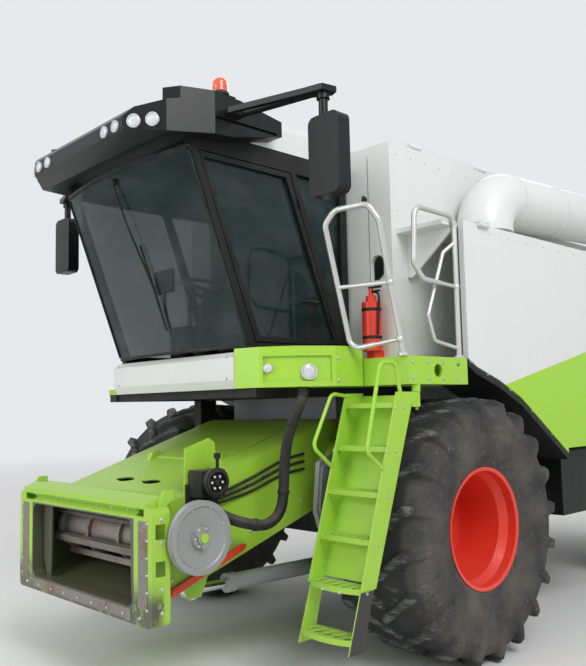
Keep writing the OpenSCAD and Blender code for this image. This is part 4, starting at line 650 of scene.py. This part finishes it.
class HARVESTER_OT_finishes(bpy.types.Operator):
    """Makes the finishes and gives one to each CAD node"""
    bl_idname = "harvester.finishes"
    bl_label = "Finishes"

    def execute(self, context):
        colours = context.scene.harvester_colours
        green, white, red = tuple(colours.green), tuple(colours.white), tuple(colours.red)
        dust, lug = colours.dust, context.scene.harvester_sizes.lug_height
        finishes.update({
            "green": paint("green_paint_finish", green, dust),
            # The feeder house's inside is painted near black as shade in the duct
            "duct": paint("feeder_house_finish", green, dust, second=((0.022, 0.018, 0.015), duct_painted_shade)),
            # The header frame's lining is painted dark as shade, beside real scrapes on its low front face
            "mouth": paint("header_frame_finish", green, dust, second=((0.055, 0.047, 0.042), mouth_scrapes_and_shade)),
            "ladder": paint("ladder_finish", green, dust, 0.4, second=((0.012, 0.012, 0.013), black_foot)),
            "white": paint("white_paint_finish", white, dust * 0.55, 0.12),
            "panel": paint("side_panel_finish", white, dust * 0.55, 0.12, second=(green, panel_green)),
            "red": paint("red_paint_finish", red, dust * 0.5, 0.2, 0.34, 0.2),
            "dark": plastic("dark_frame_finish", (0.013, 0.013, 0.014), 0.5, 0.22, 240),
            "grey": metal("grey_metal_finish", (0.33, 0.34, 0.35), 0.35, 0.42, 0.1, 0.3),
            "steel": metal("steel_finish", (0.62, 0.62, 0.61), 0.65, 0.32, 0.03, 0.12),
            "worn": metal("worn_steel_finish", (0.27, 0.25, 0.23), 0.75, 0.42, 0.34, 0.35),
            "chrome": metal("chrome_finish", (0.80, 0.80, 0.80), 1.0, 0.08, 0.0, 0.05),
            "black": plastic("black_plastic_finish", (0.0085, 0.009, 0.0095), 0.42, 0.10),
            "gloss": plastic("gloss_black_finish", (0.0055, 0.006, 0.0065), 0.30, 0.05, coat=0.1),
            "glass": glass("glass_finish", tuple(colours.tint), 0.5),
            "mirror": metal("mirror_finish", (0.85, 0.86, 0.87), 1.0, 0.03, 0.0, 0.02),
            "fabric": woven("seat_fabric_finish", (0.045, 0.047, 0.052)),
            "tyre_front": rubber("front_tyre_finish", front_radius, lug),
            "tyre_rear": rubber("rear_tyre_finish", rear_radius, lug),
            "seal": plastic("rubber_seal_finish", (0.014, 0.014, 0.014), 0.62, 0.25, 300),
            "lens": lens("clear_lens_finish", (0.72, 0.75, 0.78)),
            "amber": lens("amber_lens_finish", (0.85, 0.09, 0.012), 0.12),
            "tail": lens("red_lens_finish", (0.55, 0.012, 0.01)),
            "hose": plastic("hose_finish", (0.015, 0.015, 0.016), 0.5, 0.35, 160, 0.6),
            "screen": plastic("wire_screen_finish", (0.03, 0.03, 0.03), 0.6, 0.6, 80, 0.8),
        })
        # A node gets the first finish of its slot, unless it is one of the special ones
        by_slot = {}
        for name, slot_name in finish_slot.items():
            by_slot.setdefault(slot_name, name)
        special = {"ladder": "ladder", "feeder_house": "duct", "header_frame": "mouth", "side_panel_left": "panel",
                   "side_panel_right": "panel", "roof_visor": "gloss", "mirrors": "gloss", "feeder_chain": "worn",
                   "cleaning_shoe": "grey", "tyre_rear_left": "tyre_rear", "tyre_rear_right": "tyre_rear"}
        for part in frame["record"]["subparts"]:
            node = frame["nodes"][part["node"]]
            finish = finishes[special.get(part["node"]) or by_slot[part["material_slot"]]]
            if not node.material_slots:
                node.data.materials.append(finish)
            for material_slot in node.material_slots:
                material_slot.material = finish
        return {"FINISHED"}


class HARVESTER_OT_hose(bpy.types.Operator):
    """Makes the hose bundle from the coupler up to the platform"""
    bl_idname = "harvester.hose"
    bl_label = "Hose"

    def execute(self, context):
        route = [at(*place) for place in (
            (1.690, 0.845, 1.2497), (1.690, 0.845, 1.195), (1.655, 0.875, 1.135), (1.570, 0.935, 1.085),
            (1.475, 0.985, 1.055), (1.380, 1.010, 1.045), (1.300, 1.028, 1.085), (1.255, 1.038, 1.165),
            (1.242, 1.045, 1.280), (1.240, 1.055, 1.420), (1.235, 1.075, 1.560), (1.210, 1.105, 1.700),
            (1.175, 1.135, 1.810), (1.150, 1.155, 1.890), (1.150, 1.155, 1.9497))]
        steps = 8
        line = smooth_line(route, steps)
        width = context.scene.harvester_sizes.hose_width
        hose = Piece().pipe(route, width / 2, 24, steps).done("coupler_hose", "hose", None)
        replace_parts(hose, "hose")
        # Collars that hold the bundle together
        collars = Piece()
        inner, outer = width / 2 - 0.001, width / 2 + 0.005
        for i in (4, 34, 62, 88, 106):
            along = (line[i + 1] - line[i - 1]).normalized()
            collars.spin(line[i] - along * 0.014, along,
                         [(inner, 0), (outer, 0.002), (outer, 0.026), (inner, 0.028)], 24)
        bands = collars.done("hose_collars", "seal", None)
        for piece in (hose, bands):
            at(1.24, 1.05, 1.25)
            at(1.64, 0.87, 1.14)
            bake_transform(piece)
        length = sum((b - a).length for a, b in zip(line, line[1:]))
        return {"FINISHED"}


def spread(table, t):
    """The value at t in a table of (t, radius, half width), with straight lines between its rows."""
    for (a, *first), (b, *second) in zip(table, table[1:]):
        if t <= b:
            part = (t - a) / (b - a)
            return [x + (y - x) * part for x, y in zip(first, second)]
    return list(table[-1][1:])


def soft_step(x, edge, soft):
    t = min(1.0, max(0.0, (x - edge + soft) / (2 * soft)))
    return t * t * (3 - 2 * t)


def tyre(name, node, centre, radius, width, rim, lugs, lug_height, finish, body):
    """A lugged tyre about its axle, which stands for the CAD tyre."""
    wall = radius - lug_height - rim
    # Rows of (place from the rim to the crown, radius, half width): base is between the lugs, and over is on them
    foot = [(0, rim + 0.001, width * 0.395), (0.12, rim + wall * 0.20, width * 0.455),
            (0.30, rim + wall * 0.48, width * 0.490)]
    base = foot + [(0.45, rim + wall * 0.75, width * 0.478), (0.56, rim + wall * 0.93, width * 0.42),
                   (0.66, rim + wall, width * 0.33), (1, rim + wall + 0.006, 0)]
    over = foot + [(0.38, rim + wall * 0.64, width * 0.499), (0.45, rim + wall * 0.82, width * 0.492),
                   (0.54, radius - 0.024, width * 0.455), (0.62, radius - 0.004, width * 0.38), (1, radius, 0)]
    around, across = lugs * 28, 96
    pitch = 2 * math.pi * radius / lugs
    thick = pitch * 0.27
    # A bar slants from the middle of the tread to its bend, and runs nearly straight out from there
    bend, slant = 0.34, 0.58
    verts = []
    for j in range(across + 1):
        s = j / across * 2
        side = 1 if s <= 1 else -1
        t = s if s <= 1 else 2 - s
        low, high = spread(base, t), spread(over, t)
        # The bar's middle line along the tyre at this place across it
        v = (low[1] + high[1]) / 2 / width
        bars = []
        for hand in sides:
            u = v * side * hand
            lead = pitch * (slant * u / bend if u < bend else slant + 0.10 * (u - bend) / 0.18)
            reach = soft_step(u, -0.045, 0.012) * soft_step(t, 0.34, 0.05)
            bars.append((lead + thick * 0.5 * min(1, max(0, u / bend)), reach, 0 if hand > 0 else pitch / 2))
        for i in range(around):
            along = 2 * math.pi * radius * i / around
            mask = 0.0
            for lead, reach, shift in bars:
                if reach > 0:
                    gap = (along - lead - shift + pitch / 2) % pitch - pitch / 2
                    mask = max(mask, reach * (1 - soft_step(abs(gap), thick * 0.52, 0.011)))
            r = low[0] + (high[0] - low[0]) * mask
            y = low[1] + (high[1] - low[1]) * mask
            # On the front of the tyre the outer end of a bar stands higher than its middle
            turn = -along / radius
            verts.append((r * math.cos(turn), side * y, -r * math.sin(turn)))
    faces = []
    for j in range(across):
        for i in range(around):
            k = (i + 1) % around
            faces.append((j * around + i, j * around + k, (j + 1) * around + k, (j + 1) * around + i))
    mesh = bpy.data.meshes.new(name)
    mesh.from_pydata(verts, [], faces)
    mesh.shade_smooth()
    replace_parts(dressed(name, mesh, finish, body, centre), node)


class HARVESTER_OT_wheels(bpy.types.Operator):
    """Makes the tyres, the wheel nuts and the valves"""
    bl_idname = "harvester.wheels"
    bl_label = "Wheels"

    def execute(self, context):
        lug = context.scene.harvester_sizes.lug_height
        wheels = (("front", 0.0, 1.48, front_radius, 0.80, 0.43, 20, 10, 0.175, -0.09),
                  ("rear", -3.75, 1.40, rear_radius, 0.50, 0.325, 18, 8, 0.12, 0.08))
        for end, x, track, radius, width, rim, lugs, nuts, nut_circle, disc in wheels:
            for side, hand in hands:
                node = "tyre_" + end + "_" + hand
                body = body_of(node)
                centre = at(x, side * track, radius)
                tyre("lugged_" + node, node, centre, radius, width, rim, lugs, lug, "tyre_" + end, body)
                out = Vector((0, side, 0))
                fittings = Piece()
                for c, s in circle(nuts):
                    spot = centre + Vector((c, 0, -s)) * nut_circle + out * disc
                    fittings.spin(spot, out, [(0.026, -0.001), (0.026, 0.004), (0.020, 0.007)], 20)
                    fittings.rod(spot, spot + out * 0.024, 0.019, 6, 0.0175)
                    fittings.rod(spot + out * 0.02, spot + out * 0.038, 0.011, 14, 0.009)
                fittings.done("wheel_nuts_" + end + "_" + hand, "red", body, 0.0012)
                valve = Piece()
                root = centre + Vector((0.6, 0, 0.8)) * (rim - 0.075) + out * (width * 0.395 - 0.12)
                valve.pipe([root, root + out * 0.04 + Vector((-0.004, 0, -0.006)), root + out * 0.075], 0.006, 10)
                valve.rod(root + out * 0.07, root + out * 0.092, 0.009, 12)
                valve.done("valve_" + end + "_" + hand, "seal", body)
        return {"FINISHED"}


def rounded_plate(low, high, corner, x):
    """A rounded rectangle across the machine, as a loop of points at x; low and high are (y, z)."""
    loop = []
    for cy, cz, start in ((high[0] - corner, high[1] - corner, 0), (low[0] + corner, high[1] - corner, 90),
                          (low[0] + corner, low[1] + corner, 180), (high[0] - corner, low[1] + corner, 270)):
        for k in range(7):
            turn = math.radians(start + 15 * k)
            loop.append(at(x, cy + corner * math.cos(turn), cz + corner * math.sin(turn)))
    return loop


class HARVESTER_OT_lamps(bpy.types.Operator):
    """Makes the lamps' glasses and covers, the mirrors' glasses and bolts, and the beacon"""
    bl_idname = "harvester.lamps"
    bl_label = "Lamps and mirrors"

    def execute(self, context):
        glasses = Piece()
        bezels = Piece()
        places = []
        for side in sides:
            places += [(at(2.30, side * y, 3.685), backwards, 0.032) for y in (0.56, 0.42)]
            ahead = Vector((0.8115, side * 0.5843, 0)).normalized()
            for t in (0.3, 0.72):
                spot = at(2.06 + 0.18 * t, side * (0.89 - 0.25 * t), 3.69)
                places.append((spot + ahead * 0.08, -ahead, 0.038))
        for spot, ahead, size in ((at(1.170, 1.2416, 2.050), Vector((0.4613, 0.8872, 0)), 0.044),
                                  (at(1.3658, 1.0456, 2.080), Vector((0.8, 0.6, 0)), 0.023)):
            places.append((spot + ahead * 0.12, -ahead, size))
        for start, direction, size in places:
            point = land("lamps", start, direction)[0]
            glasses.spin(point, -direction, [(size, -0.001), (size, 0.002), (size * 0.85, 0.0045),
                                             (size * 0.5, 0.0065), (0, 0.0072)], 32)
            bezels.spin(point, -direction, [(size, 0.0005), (size * 1.08, 0.003), (size, 0.0045)], 32)
        glasses.done("lamp_glasses", "lens", "root", soft=True)
        bezels.done("lamp_bezels", "chrome", "root")
        covers = Piece()
        for side in sides:
            for i in range(3):
                spot = at(-6.32, side * (1.07 + 0.08 * i), 1.95)
                covers.spin(spot, backwards, [(0.030, -0.001), (0.030, 0.003), (0.018, 0.006), (0, 0.007)], 28)
        covers.done("rear_lamp_covers", "tail", "root", soft=True)
        for side, hand in hands:
            middle = side * 1.72
            loop = rounded_plate((middle - 0.112, 3.128), (middle + 0.112, 3.602), 0.034, 1.374)
            Piece().prism(loop, (0.005, 0, 0)).done("mirror_glass_" + hand, "mirror", "root", 0.001)
            clamp = Piece()
            for x, y, z in ((1.43, 1.69, 3.808), (1.61, 1.03, 3.808)):
                clamp.bolt(at(x, side * y, z), upwards, 0.013)
            clamp.bolts("mirrors", at(1.40, middle, 3.90), at(1.48, middle, 3.90), 2, downwards, 0.010)
            clamp.done("mirror_bolts_" + hand, "steel", "root")
        low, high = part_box("beacon")
        foot = Vector(((low.x + high.x) / 2, (low.y + high.y) / 2, low.z))
        outline = [(0, 0), (0.062, 0), (0.064, 0.006), (0.060, 0.022), (0.056, 0.026), (0, 0.026)]
        Piece().spin(foot, upwards, outline).done("beacon_collar", "seal", "root")
        tall = high.z - low.z
        profile = [(0.054, 0.024), (0.055, 0.030)]
        ridges, pitch = 6, 0.008
        profile += [(0.055 - 0.004 * (k % 2), 0.034 + pitch * k) for k in range(ridges)]
        top = 0.034 + pitch * ridges
        profile += [(0.053 * math.cos(turn), top + (tall - top) * math.sin(turn))
                    for turn in (math.radians(15 * k) for k in range(1, 6))] + [(0, tall)]
        dome = Piece().spin(foot, upwards, profile, 48).done("beacon_dome", "amber", "root", soft=True)
        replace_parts(dome, "beacon")
        return {"FINISHED"}


def cushion(name, centre, size, crown, tilt, channels):
    """A padded piece: crowned, with sides that pull in between its corners and sewn channels across it."""
    shape = bmesh.new()
    bmesh.ops.create_cube(shape, size=2)
    bmesh.ops.subdivide_edges(shape, edges=shape.edges[:], cuts=15, use_grid_fill=True)
    turn = Matrix.Rotation(tilt, 4, "Y")
    for vert in shape.verts:
        u, v, w = vert.co
        x = u * (1 - 0.10 * w * w - 0.05 * (1 - v * v) * abs(u))
        y = v * (1 - 0.10 * w * w - 0.05 * (1 - u * u) * abs(v))
        z = w * (1 - 0.28 * max(abs(u), abs(v)) ** 6)
        if w > 0:
            z += crown * (1 - u ** 4) * (1 - v ** 4) / size[2]
            for channel in channels:
                z -= 0.010 * math.exp(-((u - channel) / 0.06) ** 2) / size[2]
        vert.co = Vector(centre) + turn @ Vector((x * size[0], y * size[1], z * size[2]))
    mesh = bpy.data.meshes.new(name)
    shape.to_mesh(mesh)
    shape.free()
    mesh.shade_smooth()
    piece = dressed(name, mesh, "fabric", "root")
    skin = piece.modifiers.new("soft skin", "SUBSURF")
    skin.levels = 1
    skin.render_levels = 1
    return piece


class HARVESTER_OT_cab(bpy.types.Operator):
    """Makes the seat and what else stands in and on the cab"""
    bl_idname = "harvester.cab"
    bl_label = "Cab"

    def execute(self, context):
        cab_floor = 2.0

        def inside(x, y, height):
            """A place in the cab, at a height over its floor."""
            return at(x, y, cab_floor + height)

        seat = cushion("seat_cushion", inside(0.77, 0, 0.45), (0.245, 0.255, 0.065), 0.018, 0, (-0.2, 0.35))
        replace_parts(seat, "seat")
        lean = math.radians(80)
        cushion("seat_back", inside(0.55, 0, 0.83), (0.30, 0.245, 0.055), 0.014, lean, (-0.3, 0.3))
        cushion("head_rest", inside(0.50, 0, 1.20), (0.085, 0.14, 0.045), 0.010, lean, ())
        base = Piece()
        for k in range(6):
            base.spin(inside(0.76, 0, 0.06 + 0.05 * k), upwards,
                      [(0.165, 0), (0.19, 0.012), (0.165, 0.025), (0.155, 0.05)], 32)
        base.box(inside(0.54, -0.22, 0.36), inside(0.98, 0.22, 0.40))
        base.done("seat_bellows", "seal", "root", 0.006)
        arms = Piece()
        for side in sides:
            arms.box(inside(0.56, side * 0.31 - 0.03, 0.62), inside(0.86, side * 0.31 + 0.03, 0.67))
            arms.rod(inside(0.57, side * 0.28, 0.42), inside(0.57, side * 0.30, 0.64), 0.016)
        arms.box(inside(0.62, -0.62, 0.1), inside(1.02, -0.40, 0.52))
        arms.box(inside(0.70, -0.42, 0.64), inside(0.98, -0.28, 0.69))
        arms.done("armrests_and_console", "black", "root", 0.014)
        controls = Piece()
        controls.pipe([inside(0.93, -0.35, 0.68), inside(0.95, -0.35, 0.76), inside(0.96, -0.35, 0.82)], 0.012)
        controls.spin(inside(0.962, -0.35, 0.80), (0.2, 0, 1),
                      [(0, 0), (0.026, 0.01), (0.034, 0.045), (0.026, 0.075), (0, 0.085)], 24)
        controls.pipe([inside(1.02, -0.52, 0.3), inside(1.10, -0.55, 0.62), inside(1.12, -0.55, 0.84)], 0.015)
        controls.box(inside(1.10, -0.68, 0.80), inside(1.135, -0.42, 1.00))
        controls.done("drive_lever_and_monitor", "black", "root", 0.006)
        # Leaning rail and grab loops behind the door's glass
        rails = Piece()
        rails.pipe([at(1.03, 0.79, 3.50), at(0.80, 0.80, 3.05), at(0.66, 0.80, 2.75), at(0.56, 0.79, 2.50)], 0.013)
        rails.pipe([at(0.62, 0.78, 2.62), at(0.66, 0.72, 2.60), at(0.95, 0.72, 2.60), at(0.99, 0.78, 2.62)], 0.012)
        rails.pipe([at(0.80, 0.78, 3.02), at(0.84, 0.72, 3.00), at(1.15, 0.72, 3.00), at(1.19, 0.78, 3.02)], 0.012)
        rails.done("grab_rails", "seal", "root")
        # Wiper on the windscreen
        wiper = Piece()
        pivot, normal = land("windscreen", at(2.2, 0.0, 3.50), backwards)
        low, low_normal = land("windscreen", at(2.2, 0.10, 2.75), backwards)
        wiper.rod(pivot + normal * 0.002, pivot + normal * 0.03, 0.026, 24)
        wiper.pipe([pivot + normal * 0.022, pivot.lerp(low, 0.4) + normal * 0.036, low + low_normal * 0.024],
                   0.008, 8)
        blade = low + low_normal * 0.013
        screen_lean = math.atan2(0.5, 1.35)
        wiper.box(blade + Vector((-0.010, -0.008, -0.36)), blade + Vector((0.004, 0.008, 0.30)),
                  Matrix.Rotation(screen_lean, 4, "Y"))
        wiper.done("wiper", "seal", "root", 0.002)
        grip = land("door_glass", at(0.66, 1.3, 2.60), rightwards)[0]
        bends = [grip + Vector(step) for step in ((0, 0, 0), (0.02, 0.03, 0), (0.14, 0.03, 0), (0.16, 0, 0))]
        Piece().pipe(bends, 0.009).done("door_handle", "seal", body_of("door"))
        return {"FINISHED"}


def mirrored(rows):
    """The same rows of bolts on the machine's other side."""
    return [(*((x, -y, z) for x, y, z in places), count, scale) for *places, count, scale in rows]


def bolt_circle(x, y, z, radius, count, scale, lead=0.0):
    """Single bolts in an upright circle on the machine's left, let down to the right."""
    spots = [(x + radius * c, y, z + radius * s) for c, s in circle(count, lead)]
    return [(spot, spot, rightwards, 1, scale) for spot in spots]


class HARVESTER_OT_fastenings(bpy.types.Operator):
    """Makes the bolts and rivets of the sheet metal"""
    bl_idname = "harvester.fastenings"
    bl_label = "Bolts"

    def execute(self, context):
        # A row: its start and end, which way its bolts are let down, how many, and their size beside a common one
        header = [((2.13, 1.0, 0.60), (2.13, 1.0, 1.15), rightwards, 5, 1),
                  ((2.4, 0.86, 0.62), (2.4, 0.86, 1.13), backwards, 6, 0.8)]
        duct = [((0.75, 0.70, 2.2), (1.95, 0.70, 2.2), downwards, 8, 1),
                ((0.70, 1.1, 1.50), (1.95, 1.1, 1.09), rightwards, 9, 1),
                ((0.80, 1.1, 1.13), (1.95, 1.1, 0.74), rightwards, 8, 1)]
        tank = [((-2.22, 1.6, z), (0.22, 1.6, z), rightwards, 14, 0.6) for z in (3.30, 3.74)]
        hood = [((-4.75, 1.8, 1.70), (-6.1, 1.8, 1.70), rightwards, 9, 0.8),
                ((-4.75, 1.8, 2.70), (-6.0, 1.8, 2.62), rightwards, 8, 0.8)]
        axle = bolt_circle(0, 1.75, front_radius, 0.10, 10, 1)
        panel = [((-0.3, 2.0, 3.10), (-4.3, 2.0, 3.10), rightwards, 16, 0.55),
                 ((-1.5, 2.0, 1.49), (-4.3, 2.0, 1.49), rightwards, 12, 0.55),
                 ((-4.34, 2.0, 1.6), (-4.34, 2.0, 3.0), rightwards, 7, 0.55)]
        guard = [((x, 1.74, z), (x, 1.74, z), downwards, 1, 1)
                 for x, z in ((0.02, 2.46), (-0.2, 2.38), (-0.5, 2.26), (-0.8, 2.10), (-1.1, 1.90))]
        pieces = [
            ("header_frame_bolts", "steel", {"header_frame": header + mirrored(header) + [
                ((2.4, -0.78, 1.19), (2.4, 0.78, 1.19), backwards, 9, 0.8),
                ((2.4, -0.78, 0.56), (2.4, 0.78, 0.56), backwards, 9, 0.9)]}),
            ("feeder_house_bolts", "steel", {"feeder_house": duct + mirrored(duct) + [
                ((1.30, 0.35, 2.2), (1.30, -0.35, 2.2), downwards, 4, 0.8)]}),
            ("pulley_bolts", "steel", {"drive_pulley": bolt_circle(1.88, 1.2, 1.02, 0.055, 6, 0.8)
                                       + bolt_circle(1.88, 1.2, 1.02, 0.185, 8, 0.55, 0.5)}),
            ("platform_bolts", "steel", {
                "platform": [((0.20, 2.0, z), (0.70, 2.0, z), rightwards, 4, 1) for z in (2.10, 1.99)],
                "lamp_panel": [((x, 1.6, z), (x, 1.6, z), (-0.35, -1, 0), 1, 1)
                               for x in (1.07, 0.84) for z in (2.14, 1.99)]}),
            ("front_hood_rivets", "grey", {"front_hood": [
                ((1.75, y, 2.02), (1.75, y, 2.17), backwards, 2, 0.6) for y in (-0.72, 0.72)]}),
            ("tank_rivets", "white", {"grain_tank": tank + mirrored(tank) + [
                ((0.9, 0.93, z), (0.9, 1.24, z), backwards, 3, 0.6) for z in (2.30, 2.70, 3.10, 3.50, 3.78)]}),
            ("straw_hood_bolts", "dark", {"straw_hood": hood + mirrored(hood) + [
                ((-6.8, -1.25, 1.75), (-6.8, 1.25, 1.75), forwards, 11, 0.8)]}),
            ("ladder_bolts", "steel", {"ladder": [
                ((0.80 + (1.80 - z) * 0.36, y, z), (0.89 + (1.80 - z) * 0.36, y, z), way, 2, 0.8)
                for y, way in ((1.25, leftwards), (1.80, rightwards)) for z in (1.80, 1.52, 1.24, 0.96, 0.68)]}),
            ("hub_bolts", "dark", {"front_axle": axle + mirrored(axle)}),
            ("panel_rivets_left", "white", {"side_panel_left": panel}),
            ("panel_rivets_right", "white", {"side_panel_right": mirrored(panel)}),
            ("mudguard_bolts_left", "steel", {"mudguards": guard}),
            ("mudguard_bolts_right", "steel", {"mudguards": mirrored(guard)}),
        ]
        size = context.scene.harvester_sizes.bolt_size
        for name, finish, nodes in pieces:
            piece = Piece()
            for node, rows in nodes.items():
                for start, end, direction, count, scale in rows:
                    piece.bolts(node, at(*start), at(*end), count, direction, size * scale)
            piece.done(name, finish, body_of(node))
        return {"FINISHED"}


class HARVESTER_OT_fittings(bpy.types.Operator):
    """Makes the wear strips, pressure lines, caps, locks, rings, seals and wires"""
    bl_idname = "harvester.fittings"
    bl_label = "Fittings"

    def execute(self, context):
        feeder = body_of("feeder_house")
        # Wear strips beside and below the mouth
        strips = Piece()
        for side in sides:
            strips.box(at(2.199, side * 0.815 - 0.05, 0.62), at(2.205, side * 0.815 + 0.05, 1.14))
        strips.box(at(2.199, -0.68, 0.535), at(2.205, 0.68, 0.60))
        strips.done("header_wear_strips", "worn", feeder, 0.001)
        lines = Piece()
        for k in range(3):
            z = 0.055 * k
            lines.pipe([at(0.78, 0.765, 1.36 + z), at(1.00, 0.765, 1.33 + z * 0.9), at(1.30, 0.765, 1.24 + z * 0.8),
                        at(1.52, 0.775, 1.20 + z * 0.6), at(1.62, 0.785, 1.19 + z * 0.5)], 0.010, 10)
        lines.done("feeder_pressure_lines", "dark", feeder)
        # Caps of the coupler's sockets
        caps = Piece()
        for c, s in circle(6):
            spot = at(1.73 + 0.042 * c, 1.2, 1.345 - 0.042 * s)
            caps.spin(land("coupler", spot, rightwards)[0], leftwards, [
                (0.0105, -0.001), (0.0105, 0.006), (0.007, 0.010), (0, 0.010)], 16)
        caps.done("coupler_socket_caps", "chrome", feeder)
        # The extinguisher's hose, levers and straps
        safety = Piece()
        x, y, z = 0.385, 1.13, 2.14
        safety.pipe([at(x, y + 0.02, z + 0.53), at(x, y + 0.075, z + 0.50), at(x + 0.02, y + 0.086, z + 0.35),
                     at(x + 0.03, y + 0.084, z + 0.20)], 0.009, 10)
        safety.box(at(x - 0.012, y - 0.02, z + 0.555), at(x + 0.012, y + 0.10, z + 0.570))
        safety.box(at(x - 0.012, y - 0.01, z + 0.528), at(x + 0.012, y + 0.085, z + 0.540))
        for height in (0.17, 0.38):
            safety.spin(at(x, y, z + height), upwards,
                        [(0.072, 0), (0.0745, 0.002), (0.0745, 0.024), (0.072, 0.026)], 36)
        safety.done("extinguisher_fittings", "seal", "root", 0.001)
        # Tank's lock and the seam beside it
        lock = Piece()
        point = land("grain_tank", at(1.0, 1.02, 3.42), backwards)[0]
        lock.spin(point, forwards, [(0.028, -0.001), (0.028, 0.006), (0.02, 0.010), (0, 0.010)], 28)
        lock.box(point + Vector((0.008, -0.006, -0.03)), point + Vector((0.022, 0.006, 0.03)))
        lock.done("tank_lock", "seal", "root", 0.001)
        x, y, _ = land("grain_tank", at(1.0, 1.06, 3.0), backwards)[0]
        Piece().box((x - 0.001, y - 0.004, 2.25), (x + 0.0015, y + 0.004, 3.76)).done("tank_seam", "grey", "root")
        # Clamp rings of the auger's tube, which rises a little towards the back
        tube_radius = 0.225
        tilt = math.radians(2.5)
        along = Vector((-math.cos(tilt), 0, math.sin(tilt)))
        low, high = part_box("auger_tube")
        rings = Piece()
        for part in (0.28, 0.52, 0.76):
            x, y = low.x + (high.x - low.x) * part, 1.52
            top = land("auger_tube", (x, y, 5), downwards)[0]
            centre = Vector((x, y, top.z - tube_radius / math.cos(tilt)))
            rings.spin(centre - along * 0.012, along,
                       [(0.2255, 0), (0.236, 0.002), (0.236, 0.022), (0.2255, 0.024)], 64)
        rings.done("auger_rings", "white", body_of("auger_tube"))
        # Rubber seals down the windscreen's sides, and along its lower and upper edges
        proud = Vector((0.003, 0, 0))
        seal = Piece()
        for side in sides:
            seal.pipe([land("windscreen", at(2.3, side * 0.838, 2.26 + 1.28 * t), backwards)[0] + proud
                       for t in (0, 0.25, 0.5, 0.75, 1)], 0.009, 8, 3)
        seal.done("windscreen_seals", "seal", "root")
        rims = Piece()
        for z in (2.245, 3.555):
            rims.pipe([land("windscreen", at(2.3, y, z), backwards)[0] + proud
                       for y in (-0.83, -0.6, -0.3, 0, 0.3, 0.6, 0.83)], 0.010, 8, 4)
        rims.done("windscreen_edges", "seal", "root")
        # Wires over the round screen in the engine hood's top
        wires = Piece()
        screen_radius, gap = 0.15, 0.025
        for k in range(-5, 6):
            half = Vector((0, math.sqrt(screen_radius ** 2 - (gap * k) ** 2), 0))
            top = land("engine_hood", at(-3.25 + gap * k, 0, 4.5), downwards)[0] + Vector((0, 0, 0.003))
            wires.rod(top - half, top + half, 0.003, 6)
        wires.done("hood_screen_wires", "screen", "root")
        return {"FINISHED"}


class HARVESTER_PT_panel(bpy.types.Panel):
    """Lists the pieces of the harvester"""
    bl_idname = "HARVESTER_PT_panel"
    bl_label = "Harvester"
    bl_space_type = "VIEW_3D"
    bl_region_type = "UI"
    bl_category = "Harvester"

    def draw(self, context):
        for settings in (context.scene.harvester_colours, context.scene.harvester_sizes):
            for name in settings.bl_rna.properties.keys():
                if name not in ("rna_type", "name"):
                    self.layout.prop(settings, name)
        for operator in operators:
            self.layout.operator(operator.bl_idname)


settings_groups = (ColourSettings, SizeSettings)
operators = (HARVESTER_OT_stage, HARVESTER_OT_finishes, HARVESTER_OT_hose, HARVESTER_OT_wheels, HARVESTER_OT_lamps,
             HARVESTER_OT_cab, HARVESTER_OT_fastenings, HARVESTER_OT_fittings)
classes = settings_groups + operators + (HARVESTER_PT_panel,)


def register():
    for item in classes:
        bpy.utils.register_class(item)
    bpy.types.Scene.harvester_colours = bpy.props.PointerProperty(type=ColourSettings)
    bpy.types.Scene.harvester_sizes = bpy.props.PointerProperty(type=SizeSettings)


def unregister():
    del bpy.types.Scene.harvester_sizes
    del bpy.types.Scene.harvester_colours
    for item in reversed(classes):
        bpy.utils.unregister_class(item)


def main():
    register()
    for operator in operators:
        group, name = operator.bl_idname.split(".")
        getattr(getattr(bpy.ops, group), name)()


if __name__ == "__main__":
    main()
